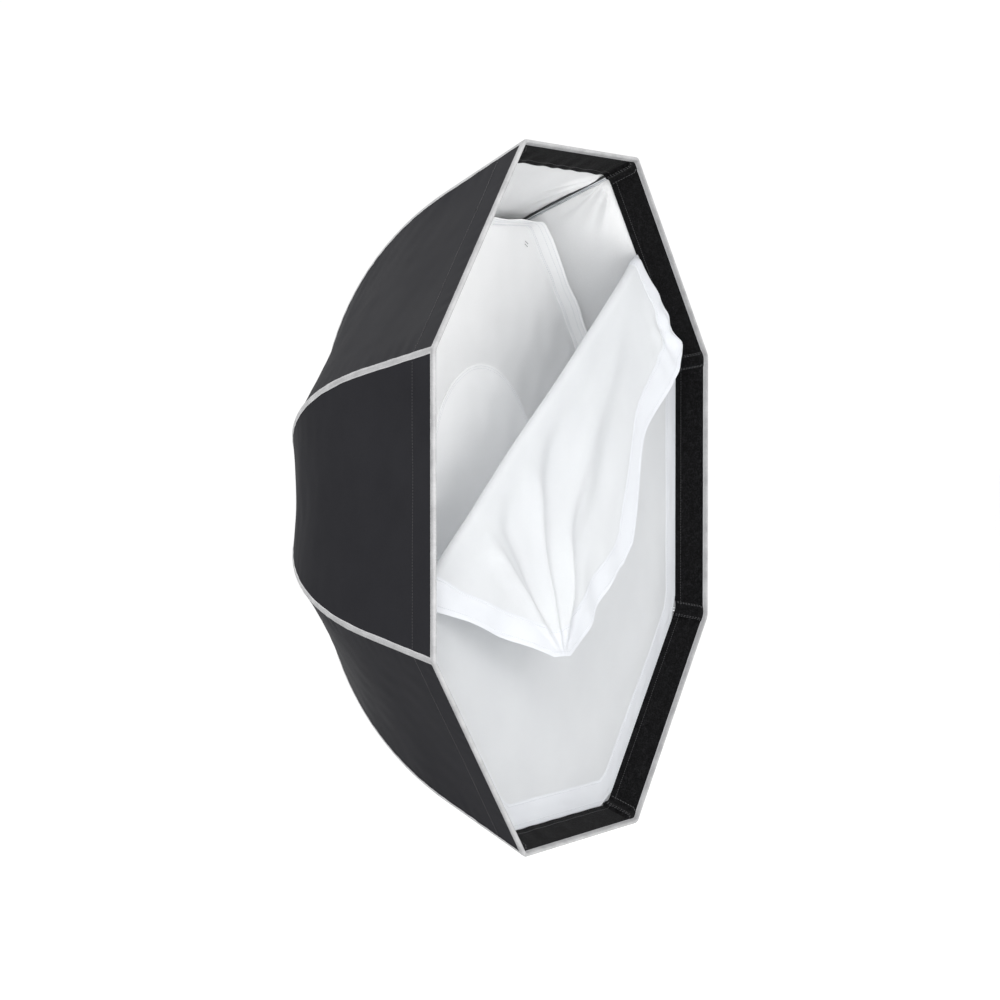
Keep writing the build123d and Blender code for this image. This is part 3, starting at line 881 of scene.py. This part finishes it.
def make_collar():
    """A doubled hem that the clamp ring grips on the hub."""
    turns = np.linspace(0, 2 * math.pi, 193)
    rings = []
    for turn in turns:
        out = directions(turn)[0]
        lift = 0.15 * MM * math.sin(24 * turn) + 0.1 * MM * math.sin(41 * turn)
        rings.append([out * r * MM + AXIS * (y * MM + lift * (r > 84)) for r, y in COLLAR])
    uv = grid_uv(np.arange(len(COLLAR)) * 2 * MM, np.linspace(0, 0.55, len(rings)))
    piece = tube_of_sections("collar_tape", np.array(rings), uv, MATERIALS["black_tape"])
    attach(piece, "hub")
    line = np.array([directions(t)[0] * COLLAR_SEAM[0] + AXIS * COLLAR_SEAM[1] for t in turns])
    sew("collar_stitches", [(line, np.tile(AXIS, (len(line), 1)))], "grey_thread", "hub")


# ---- Seam tape ----

# (off the rib's plane, height above the cloth) in mm, from a tape's middle to its edge
TAPE_HALF = ((0, 1.05), (0.8, 1.05), (1.6, 1.0), (2.5, 0.85), (3.0, 0.6), (3.5, 0.8), (4.0, 0.6), (4.2, 0.1))
TAPE_SECTION = [(-off, height) for off, height in TAPE_HALF[:0:-1]] + list(TAPE_HALF)
TAPE_UNDER = (3.9, 2.0, 0.0, -2.0, -3.9)
TAPE_STITCH = 3.05 * MM


def tape_sections(k, rows):
    """Sections of the crowned tape over a seam: its edges wander a little, as a sewn binding's do."""
    wander = 1 + 0.03 * ripple(100 + k, rows, 0.0, 60 * MM, 4, 0.6, 0.0, 0.1)
    upper = [tape_point(k, rows, off * MM * wander, height * MM) for off, height in TAPE_SECTION]
    lower = [tape_point(k, rows, off * MM * wander, 0.05 * MM) for off in TAPE_UNDER]
    return np.stack(upper + lower, 1)


def tape_point(k, rows, off, height):
    gore, f = beside_rib(k, rows, off)
    return place(gore, rows, f, outer_height(gore, rows, f) + height)


def tape(name, k, rows):
    sections = tape_sections(k, rows)
    uv = grid_uv(np.linspace(0, 13 * MM, sections.shape[1]), rows)
    return tube_of_sections(name, sections, uv, MATERIALS["tape"])


def make_seam_tape(k):
    piece = tape(f"seam_tape_{k}", k, zone_rows(3 * MM, NECK_START, 4 * MM))
    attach(piece, f"rib_{k}")
    rows = zone_rows(9 * MM, NECK_START, 3 * MM)
    lines = []
    for off in (-TAPE_STITCH, TAPE_STITCH):
        gore, f = beside_rib(k, rows, off)
        lines.append(cloth_line(gore, rows, f, outer_height, 0.7 * MM))
    sew(f"seam_stitches_{k}", lines, "grey_thread", f"rib_{k}")


def make_neck_tape(k):
    piece = tape(f"neck_tape_{k}", k, zone_rows(NECK_START, s_at_radius(90 * MM), 3 * MM))
    blend_neck(piece)


# ---- Lip and rim binding ----


def lip_rows():
    return zone_rows(0.5 * MM, LIP_W, 3.2 * MM)


def make_lip_wing(k, side):
    gore, s, f = wing_grid(k, side, lip_rows(), WING_COLUMNS + 8)
    piece = cloth_slab(wing_name("lip", k, side), gore, s, f, lip_outer, lip_inner, LIP_LOOKS)
    ride_wing(piece, k)
    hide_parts(f"lip_band_{(gore - 1) % RIB_COUNT + 1}")


def make_lip_corner(k):
    """The pocket over the end of a rib."""
    piece = ridge_slab(f"lip_pocket_{k}", k, lip_rows(), SPINE_OFFS, lip_outer, lip_inner, LIP_LOOKS)


# (distance from the rim, height above the cloth) in mm, round the outer cloth and then round the lip's face
BINDING_OUTER = (
    (5.6, 0.1), (5.4, 0.6), (4.9, 0.8), (4.2, 0.65), (3.4, 0.9),
    (2.0, 1.0), (0.6, 0.95), (-0.6, 0.5), (-1.2, -0.7),
)
BINDING_INNER = (
    (-1.1, 0.3), (-0.5, 0.9), (0.8, 1.05), (2.0, 1.05), (3.4, 1.0),
    (4.2, 0.75), (4.9, 0.9), (5.4, 0.7), (5.6, 0.2),
)


def binding_points(gore, f):
    """The closed section of the binding at f: round the outer cloth, the edge and the lip's inner face."""

    def outside(s, lift):
        return place(gore, s * MM, f, outer_height(gore, max(s * MM, 0), f) + lift * MM)

    def inside(s, lift):
        return place(gore, s * MM, f, lip_inner(gore, max(s * MM, 0), f) - lift * MM)

    points = [outside(s, lift) for s, lift in BINDING_OUTER] + [inside(s, lift) for s, lift in BINDING_INNER]
    points += [inside(s, 0.05) for s in (4.0, 2.0)] + [outside(s, 0.02) for s in (2.0, 4.0)]
    return np.stack(points, 1)


def binding(name, sections, along):
    """The binding through these sections, which are along the rim by these lengths."""
    uv = grid_uv(np.linspace(0, 24 * MM, sections.shape[1]), along)
    piece = tube_of_sections(name, sections, uv, MATERIALS["tape"])
    return piece


def make_binding_wing(k, side):
    gore = panel_beside(k, side)
    reach = -side * float(share_at(0.0, SPINE))
    f = reach * np.linspace(0, 1, 46)
    piece = binding(wing_name("rim_binding", k, side), binding_points(gore, f), f * float(half_width(0.0)))
    ride_wing(piece, k)
    fine = reach * np.linspace(0, 1, 90)
    across = zone_rows(6.5 * MM, LIP_W - 2 * MM, 2 * MM)
    rim_lines = [
        cloth_line(gore, 4.2 * MM, fine, outer_height, 0.75 * MM),
        cloth_line(gore, 4.2 * MM, fine, lip_inner, -0.85 * MM),
    ]
    lip_lines = [
        cloth_line(gore, 39.5 * MM, fine, outer_height, 0.08 * MM),
        cloth_line(gore, 35.5 * MM, fine, lip_inner, -0.05 * MM),
    ]
    pocket_lines = [
        cloth_line(gore, across, -side * share_at(across, off), lip_inner, -0.12 * MM)
        for off in (8.0 * MM, 9.6 * MM)
    ]
    rows = (
        ("rim_stitches", rim_lines, "grey_thread", STITCH_WIDTH),
        ("lip_stitches", lip_lines, "dark_thread", STITCH_WIDTH),
        ("pocket_stitches", pocket_lines, "dim_thread", 0.3 * MM),
    )
    for start, lines, thread, width in rows:
        sewn = stitches(wing_name(start, k, side), lines, MATERIALS[thread], width)
        ride_wing(sewn, k)


def make_binding_corner(k):
    sections = []
    for off in SPINE_OFFS:
        gore, f = beside_rib(k, 0.0, off)
        sections.append(binding_points(gore, np.array([float(f)]))[0])
    piece = binding(f"rim_corner_{k}", np.array(sections), SPINE_OFFS)
    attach(piece, f"rib_{k}")


# ---- Octagons of flat cloth ----


def octagon_corners(flat, corner):
    """The corners of an octagon with flats at one distance, cut back at its corners to the other."""
    points = []
    for i in range(RIB_COUNT):
        turn = (2 * i + 1) * HALF
        out, along = circle(turn), circle(turn + math.pi / 2)
        reach = (flat / COS - corner) / TAN
        points += [out * corner - along * reach, out * corner + along * reach]
    return np.array(points)


def round_the(points, step):
    """Points every step round a closed outline, corner points included."""
    result = []
    for a, b in zip(points, np.roll(points, -1, 0)):
        count = max(int(round(np.linalg.norm(b - a) / step)), 1)
        result.append(a + (b - a) * (np.arange(count) / count)[:, None])
    return np.concatenate(result)


def matched_round(outer, inner, step):
    """Points in pairs every step round two closed outlines with matching corners."""
    first, second = [], []
    for i in range(len(outer)):
        j = (i + 1) % len(outer)
        count = max(int(round(np.linalg.norm(outer[j] - outer[i]) / step)), 1)
        share = (np.arange(count) / count)[:, None]
        first.append(outer[i] + (outer[j] - outer[i]) * share)
        second.append(inner[i] + (inner[j] - inner[i]) * share)
    return np.concatenate(first), np.concatenate(second)


BAND_COLUMNS = 9
BAND_ROLL = (-0.08, -0.06)  # shares of a band's width: it reaches past the cloth's edge by these
BAND_THIN = (0.25, 0.8)  # shares of its thickness there


def cloth_band(name, where, outer, inner, step, thick, material):
    """A doubled band of cloth along the edge of a cloth, between two outlines of its flat shape."""
    edge, inside = matched_round(outer, inner, step)
    edge, inside = closed(edge), closed(inside)
    share = np.concatenate([BAND_ROLL, np.linspace(0.0, 1.0, BAND_COLUMNS)])
    flat = edge[:, None, :] + (inside - edge)[:, None, :] * share[None, :, None]
    points, normals = where(flat), cloth_normals(where, flat)
    half = thick / 2 * np.concatenate([BAND_THIN, np.ones(BAND_COLUMNS)])[None, :, None]
    run = np.concatenate([[0], np.cumsum(np.linalg.norm(np.diff(edge, axis=0), axis=1))])
    uv = grid_uv(share * np.linalg.norm((inside - edge)[0]), run)
    return slab(name, points + normals * half, points - normals * half, uv, [material] * 3, normals, -normals)


def sewn_line(where, flat_line, lift):
    """Lines of points and normals on both faces of a cloth."""
    points, normals = where(flat_line), cloth_normals(where, flat_line)
    return [(points + normals * lift, normals), (points - normals * lift, -normals)]


def closed(points):
    return np.vstack([points, points[:1]])


# ---- Inner baffle ----


def baffle_where(flat):
    """The baffle hangs by its corners: gently waved, drawn forward a little where its loops pull."""
    x, z = flat[..., 0], flat[..., 1]
    reach = np.hypot(x, z) / BAFFLE_R
    angle = np.arctan2(z, x)
    wave = 2.6 * MM * ripple(301, x, z, 260 * MM, 5, 0.6) * (1 - reach**2)
    pull = 1.2 * MM * np.cos(8 * (angle - HALF)) * smooth((reach - 0.45) / 0.5)
    crease = 0.5 * MM * ripple(302, x, z, 70 * MM, 6, 0.8) * smooth(reach / 0.3)
    return np.stack([x, BAFFLE_Y + wave + pull + crease, z], -1)


def baffle_edge(angle):
    """The distance of the baffle's edge at that angle: an octagon whose sides curve in a little."""
    local = np.abs((angle / (2 * HALF) + 0.5) % 1 - 0.5) * 2 * HALF
    side = BAFFLE_R * COS / np.cos(local)
    hollow = 3.5 * MM * (1 - (local / HALF) ** 2)
    blunt = 2 * MM * smooth((local / HALF - 0.95) / 0.05)
    return side - hollow - blunt


def ring_cloth(name, where, edge, rings, around, thick, material, offset=0.0):
    """A round or many-sided cloth, as rings about its middle."""
    angle = np.linspace(0, 2 * math.pi, around, endpoint=False)
    share = np.linspace(0, 1, rings + 1)[1:]
    flat = share[:, None, None] * (edge(angle)[:, None] * circle(angle))[None]
    flat = np.vstack([flat.reshape(-1, 2), [[0.0, 0.0]]])
    i = np.arange(around)
    j = (i + 1) % around
    faces = []
    for a in range(0, (rings - 1) * around, around):
        b = a + around
        faces += np.stack([a + i, b + i, b + j, a + j], 1).tolist()
    faces += [[len(flat) - 1, int(p), int(q)] for p, q in zip(i, j)]
    return cloth_object(name, where, flat, faces, thick, material, offset)


def baffle_loop(k):
    """An elastic loop from the baffle's corner to the rib, with two rows of stitches at its root."""
    out, along = directions(rib_angle(k))
    rows = np.linspace(BAFFLE_R - 30 * MM, TAB_REACH, 12)
    offs = np.linspace(-TAB_HALF, TAB_HALF, 5)
    base = baffle_where(np.array((out[0], out[2])) * (BAFFLE_R - 8 * MM))[1]
    base = min(base, BAFFLE_Y + 2.0 * MM) + 1.3 * MM
    points = []
    for r in rows:
        y = base + 0.2 * MM * math.sin(r / MM)
        points.append([out * r + along * off + AXIS * y for off in offs])
    points = np.array(points)
    lift = AXIS * 0.5 * MM
    looks = [MATERIALS["elastic"]] * 3
    band = slab(f"baffle_loop_{k}", points + lift, points - lift, grid_uv(offs, rows), looks)
    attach(band, "baffle")
    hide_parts("baffle_tabs")
    lines = []
    for r in (BAFFLE_R - 27 * MM, BAFFLE_R - 23 * MM):
        line = np.array([out * r + along * off + AXIS * (points[0][0][1] + 0.6 * MM) for off in offs])
        up = np.tile(AXIS, (len(line), 1))
        lines += [(line, up), (line - AXIS * 3.6 * MM, -up)]
    name = f"baffle_loop_stitches_{k}"
    return [band, sew(name, lines, "dark_thread", "baffle", pitch=2.6 * MM, length=2.2 * MM)]


def skirt_where(angle, share):
    """The edge of the baffle that is turned forward: share is 0 at the turn and 1 at its free edge."""
    radius = baffle_edge(angle)
    around = circle(angle)
    turned = baffle_where(around * radius[..., None])[..., 1]
    wave = share * ripple(310, angle * BAFFLE_R, 0.0, 120 * MM, 6, 0.7, 0.0, 0.2)
    radius = radius + SKIRT_FLARE * share + 0.8 * MM * wave
    y = turned - share * (SKIRT_DEPTH + 0.7 * MM * wave)
    return np.stack([around[..., 0] * radius, y, around[..., 1] * radius], -1)


def make_skirt():
    angle = HALF + np.linspace(0, 2 * math.pi, 385)
    share = np.array((-0.03, 0.0, 0.06, 0.16, 0.3, 0.5, 0.7, 0.84, 0.94, 1.0))
    where = skirt_where(*np.broadcast_arrays(angle[:, None], share[None, :]))
    outward = unit(where * np.array((1, 0, 1)))
    thick = CLOTH_T * np.interp(share, (0.84, 0.94, 1.0), (1.0, 0.9, 0.5))[None, :, None]
    uv = grid_uv(share * SKIRT_DEPTH, angle * BAFFLE_R)
    skirt = slab("baffle_hem", where + outward * thick, where - outward * thick, uv, [MATERIALS["patch"]] * 3)
    lines = []
    for at in (0.12, 0.2, 0.62, 0.86):
        points = skirt_where(angle, np.full(len(angle), at))
        inward = unit(points * np.array((-1, 0, -1)))
        lines += [(points + inward * 0.7 * MM, inward), (points - inward * 0.7 * MM, -inward)]
    return skirt, lines


def patch_edge(angle):
    return np.full(angle.shape, PATCH_R)


def make_baffle():
    cloth = ring_cloth("baffle_sheet", baffle_where, baffle_edge, 64, 256, CLOTH_T, MATERIALS["baffle"])
    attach(cloth, "baffle")
    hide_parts("baffle_cloth")
    skirt, lines = make_skirt()
    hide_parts("baffle_skirt")
    patch = ring_cloth(
        "baffle_patch_disc", baffle_where, patch_edge, 28, 160, 0.8 * MM, MATERIALS["patch"], offset=-0.7 * MM
    )
    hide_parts("baffle_patch")
    angle = np.linspace(0, 2 * math.pi, 321)[:-1]
    for radius in (PATCH_R - 3 * MM, PATCH_R - 6 * MM):
        ring = closed(circle(angle) * radius)
        points, normals = baffle_where(ring), cloth_normals(baffle_where, ring)
        lines.append((points - normals * 1.15 * MM, -normals))
    sewn = stitches("baffle_stitches", lines, MATERIALS["white_thread"], 0.34 * MM)
    others = [skirt, patch, sewn]
    for piece in others:
        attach(piece, "baffle")
    for k in range(1, RIB_COUNT + 1):
        others += baffle_loop(k)


# ---- Front diffuser ----

FOLD_VECTOR = np.subtract(FOLD_RIGHT, FOLD_LEFT)
FOLD_RUN = float(np.linalg.norm(FOLD_VECTOR))
FOLD_ALONG = FOLD_VECTOR / FOLD_RUN
FOLD_UP = np.array((-FOLD_ALONG[1], FOLD_ALONG[0]))
TIP = (146 * MM, 229 * MM)  # the loose part's tip on the flat cut: how far along the fold, and above it
GRIP = (736 * MM, 125 * MM)  # the crumpled corner
# Along the fold: its ends, the tip, the middle, the corner beside it and the grip, and how each hangs
FLAP_PLACES = (0.0, TIP[0], 462 * MM, 610 * MM, GRIP[0], FOLD_RUN)
FLAP_SHORT = (1.0, 0.99, 0.82, 0.84, 1.12, 1.05)
FLAP_SHIFT = (0.0, 20 * MM, -40 * MM, -36 * MM, 26 * MM, 0.0)
FLAP_LEAN = tuple(math.radians(a) for a in (14, 17, 11.7, 9, 13, 8))
# Of each ridge that fans out from the tip: its angle and half width in radians, and its height in mm
RIDGES = (
    (0.05, 0.10, 9.8), (0.42, 0.12, -8.4), (0.72, 0.09, 11.2),
    (0.98, 0.10, -8.4), (1.2, 0.08, 9.8), (1.42, 0.09, -5.6),
)


def fold_axes(flat):
    """How far flat points are along the fold from its left end, and above it."""
    rest = flat - np.array(FOLD_LEFT)
    return rest @ FOLD_ALONG, rest @ FOLD_UP


def from_fold(along, up):
    """x and z of the place that is that far along the fold and above it."""
    x = FOLD_LEFT[0] + along * FOLD_ALONG[0] + up * FOLD_UP[0]
    z = FOLD_LEFT[1] + along * FOLD_ALONG[1] + up * FOLD_UP[1]
    return x, z


def cloth_span(along):
    """Lowest and highest distance from the fold line of the diffuser's cut, at each place along it."""
    low, high = np.full(along.shape, -9.0), np.full(along.shape, 9.0)
    for i in range(2 * RIB_COUNT):
        out = circle(i * HALF)
        limit = (DIFFUSER_FLAT, DIFFUSER_CORNER)[i % 2]
        slope = float(out @ FOLD_UP)
        room = limit - (np.array(FOLD_LEFT) @ out + along * float(FOLD_ALONG @ out))
        if slope > 1e-6:
            high = np.minimum(high, room / slope)
        elif slope < -1e-6:
            low = np.maximum(low, room / slope)
    return low, high


def held_height(along, up):
    """y of the part that is still fastened: taut, with long soft drags towards the ends of the fold."""
    x, z = from_fold(along, up)
    reach = np.maximum(np.maximum(np.abs(x), np.abs(z)), (np.abs(x) + np.abs(z)) * 0.7071)
    edge = smooth((DIFFUSER_FLAT - reach) / (60 * MM))
    drag = 2.2 * MM * ripple(501, along, up, 210 * MM, 5, 0.6, math.pi / 2, 0.7) * np.exp(up / (150 * MM))
    broad = 1.6 * MM * ripple(502, along, up, 330 * MM, 5, 0.6)
    rim = 0.7 * MM * ripple(503, x, z, 60 * MM, 6, 0.7) * np.exp(-edge * 3)
    return DIFFUSER_Y + (drag + broad) * edge + rim * smooth(edge * 8)


def flap_folds(along, up):
    """Soft ridges that fan out from the hanging tip, and crumpling where the corner was gripped."""
    far = np.hypot(along - TIP[0], up - TIP[1])
    angle = np.arctan2(along - TIP[0], TIP[1] - up + 1e-9)
    total = 0.0
    for middle, width, height in RIDGES:
        total = total + height * MM * np.exp(-(((angle - middle) / width) ** 2))
    total = total * smooth(far / (110 * MM)) * smooth((520 * MM - far) / (200 * MM))
    soft = 2.5 * MM * ripple(601, along, up, 120 * MM, 6, 0.7)
    corner = np.exp(-((along - GRIP[0]) ** 2 + (up - GRIP[1]) ** 2) / (42 * MM) ** 2)
    crumple = 5 * MM * corner * ripple(602, along, up, 30 * MM, 5, 0.6)
    return (total + soft) * smooth(up / (70 * MM)) + crumple


def diffuser_where(flat):
    """Where a point of the flat cut is: in the fastened part, over the fold, or in the loose part."""
    along, up = fold_axes(np.asarray(flat, float))
    top = np.maximum(cloth_span(along)[1], 0)
    loose = np.maximum(up, 0)
    radius = 1.5 * MM + (FOLD_RADIUS - 1.5 * MM) * smooth(top / (90 * MM))
    lean = eased(along, FLAP_PLACES, FLAP_LEAN)
    short = eased(along, FLAP_PLACES, FLAP_SHORT)
    shift = eased(along, FLAP_PLACES, FLAP_SHIFT)
    whole_turn = math.pi - lean
    turn = np.minimum(loose / radius, whole_turn)
    rest = np.maximum(loose - radius * whole_turn, 0) * short
    rise = radius * np.sin(turn) + rest * np.cos(whole_turn)
    ahead = radius * (1 - np.cos(turn)) + rest * np.sin(whole_turn)
    folds = flap_folds(along, loose) * smooth(rest / (60 * MM))
    rise = rise + folds * np.sin(lean)
    ahead = ahead + folds * np.cos(lean)
    slid = along + shift * smooth(rest / (200 * MM))
    held = np.minimum(up, 0)
    x, z = from_fold(slid, held + rise)
    return np.stack([x, held_height(along, held) - ahead, z], -1)


def fold_columns():
    """Places along the fold, with one at each corner of the cut and at each end of the fold."""
    corner_along = fold_axes(octagon_corners(DIFFUSER_FLAT, DIFFUSER_CORNER))[0]
    stops = np.sort(np.concatenate([corner_along, [0.0, FOLD_RUN]]))
    columns = []
    for a, b in zip(stops, stops[1:]):
        columns.append(np.linspace(a, b, max(int(round((b - a) / COLUMN_STEP)), 1), endpoint=False))
    columns = np.concatenate(columns + [stops[-1:]])
    return columns[np.concatenate([[True], np.diff(columns) > 0.3 * MM])]


def diffuser_cloth():
    """One cloth over the whole cut, as columns across the fold: below it and above it."""
    columns = fold_columns()
    low, high = cloth_span(columns)
    low = np.minimum(low, high)
    flat_points, faces, index = [], [], {}

    def vertex(i, up):
        key = (i, round(up / (0.01 * MM)))
        if key not in index:
            index[key] = len(flat_points)
            flat_points.append(from_fold(columns[i], up))
        return index[key]

    def band(bottoms, tops, shares, chosen):
        for i in chosen:
            j = i + 1
            for a, b in zip(shares, shares[1:]):
                corners = ((i, a), (j, a), (j, b), (i, b))
                quad = [vertex(c, bottoms[c] + share * (tops[c] - bottoms[c])) for c, share in corners]
                face = [v for n, v in enumerate(quad) if v != quad[n - 1]]
                if len(face) > 2:
                    faces.append(face)

    band(low, np.minimum(high, 0), np.linspace(0, 1, 111), range(len(columns) - 1))
    inside = [i for i in range(len(columns) - 1) if columns[i] > -1e-6 and columns[i + 1] < FOLD_RUN + 1e-6]
    shares = np.concatenate([np.linspace(0, 0.12, 15)[:-1], np.linspace(0.12, 1, 56)])
    band(np.zeros(len(columns)), np.maximum(high, 0), shares, inside)
    flat = np.array(flat_points)
    return cloth_object("diffuser_sheet", diffuser_where, flat, faces, CLOTH_T, MATERIALS["diffuser"])


def make_diffuser():
    cloth = diffuser_cloth()
    outer = octagon_corners(DIFFUSER_FLAT, DIFFUSER_CORNER)
    inner = octagon_corners(DIFFUSER_FLAT - HEM_W, DIFFUSER_CORNER - HEM_W)
    hem = cloth_band("diffuser_hem_tape", diffuser_where, outer, inner, 3.5 * MM, 1.8 * MM, MATERIALS["hem"])
    lines = []
    for depth in (3 * MM, HEM_W - 3 * MM):
        corners = octagon_corners(DIFFUSER_FLAT - depth, DIFFUSER_CORNER - depth)
        lines += sewn_line(diffuser_where, closed(round_the(corners, 3 * MM)), 0.95 * MM)
    sewn = stitches("diffuser_stitches", lines, MATERIALS["white_thread"], 0.38 * MM)
    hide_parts("diffuser_cloth", "diffuser_flap")
    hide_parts("diffuser_hem")
    for piece in (cloth, hem, sewn):
        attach(piece, "diffuser")


# ---- Kept CAD nodes ----


def dress_cad_nodes():
    """The hard parts keep their CAD shape and take the finish listed for each below."""
    looks = {
        "mount_ring": "mount_metal", "retainer_ring": "hub_metal", "retainer_screws": "steel",
        "hub_ring": "hub_metal", "slip_ring": "slip_plastic", "hinge_pins": "steel",
        "detent_plungers": "steel", "neck_clamp": "hub_metal", "lock_screw": "steel",
        "lock_knob": "black_plastic",
    }
    for k in range(1, RIB_COUNT + 1):
        looks[f"rib_{k}_rod"] = "rod_metal"
        looks[f"rib_{k}_foot"] = "black_plastic"
        looks[f"rib_{k}_cap"] = "black_plastic"
    for node, slot in looks.items():
        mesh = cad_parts[node].data
        mesh.materials.clear()
        mesh.materials.append(HARD[slot])


# ---- Camera, light and floor ----

CAMERA_AT = (-3.73204, -1.93996, 0.12812)
AIM_AT = (0, -0.23698, -0.00748)
LENS = 121.19  # mm, as is the sensor's width
SENSOR = 36
FLOOR_DROP = 0.30  # from the object down to the floor
FLOOR_R = 30
AMBIENT = 1.03
# Each lamp's name, place, aim, diameter and watts
LAMPS = (
    ("key", (1.2, 2.4, 1.9), (-0.2, 0, 0.1), 1.6, 34),
    ("fill", (-2.2, -4.4, 0.9), (0, -0.3, 0), 2.6, 32),
    ("side", (-3.8, -1.5, 1.6), (0, -0.25, 0.05), 1.2, 88),
)


def aimed(data, at, aim):
    """A camera or lamp in the scene that looks from one point at another."""
    made = bpy.data.objects.new(data.name, data)
    made.location = at
    made.rotation_euler = (Vector(aim) - Vector(at)).to_track_quat("-Z", "Y").to_euler()
    bpy.context.scene.collection.objects.link(made)
    return made


def make_camera():
    data = bpy.data.cameras.new("camera")
    data.lens = LENS
    data.sensor_width = SENSOR
    bpy.context.scene.camera = aimed(data, CAMERA_AT, AIM_AT)


def make_light():
    world = bpy.data.worlds.new("studio")
    bpy.context.scene.world = world
    world.use_nodes = True
    background = world.node_tree.nodes["Background"]
    background.inputs["Color"].default_value = (1, 1, 1, 1)
    background.inputs["Strength"].default_value = AMBIENT
    for name, at, aim, size, power in LAMPS:
        data = bpy.data.lights.new(name, "AREA")
        data.shape = "DISK"
        data.size = size
        data.energy = power
        aimed(data, at, aim)
    bpy.context.scene.view_settings.view_transform = "Standard"


def make_floor():
    g = Graph("pale_floor")
    spot = g.coordinates("Object")
    cloud = g.noise(spot, 0.6, 3.0)
    g.set(Base_Color=g.ramp(cloud, (0.3, (0.975, 0.975, 0.975)), (0.7, (0.99, 0.99, 0.99))))
    g.set(Roughness=0.8, Specular_IOR_Level=0.2)
    turns = np.linspace(0, 2 * math.pi, 97)[:-1]
    z = CAD_BOX[0].z - FLOOR_DROP
    vertices = [(FLOOR_R * math.cos(t), FLOOR_R * math.sin(t), z) for t in turns]
    floor = make_object("floor", vertices, [list(range(len(vertices)))], [g.material])


# ---- The whole object ----

dress_cad_nodes()
for rib in range(1, RIB_COUNT + 1):
    for side_of_rib in (-1, 1):
        for zone_number in range(len(ZONES) - 1):
            make_wing(rib, side_of_rib, zone_number)
        make_neck(rib, side_of_rib)
        make_lip_wing(rib, side_of_rib)
        make_binding_wing(rib, side_of_rib)
    make_spine(rib)
    make_seam_tape(rib)
    make_neck_tape(rib)
    make_lip_corner(rib)
    make_binding_corner(rib)
make_collar()
make_baffle()
make_diffuser()
make_camera()
make_light()
make_floor()
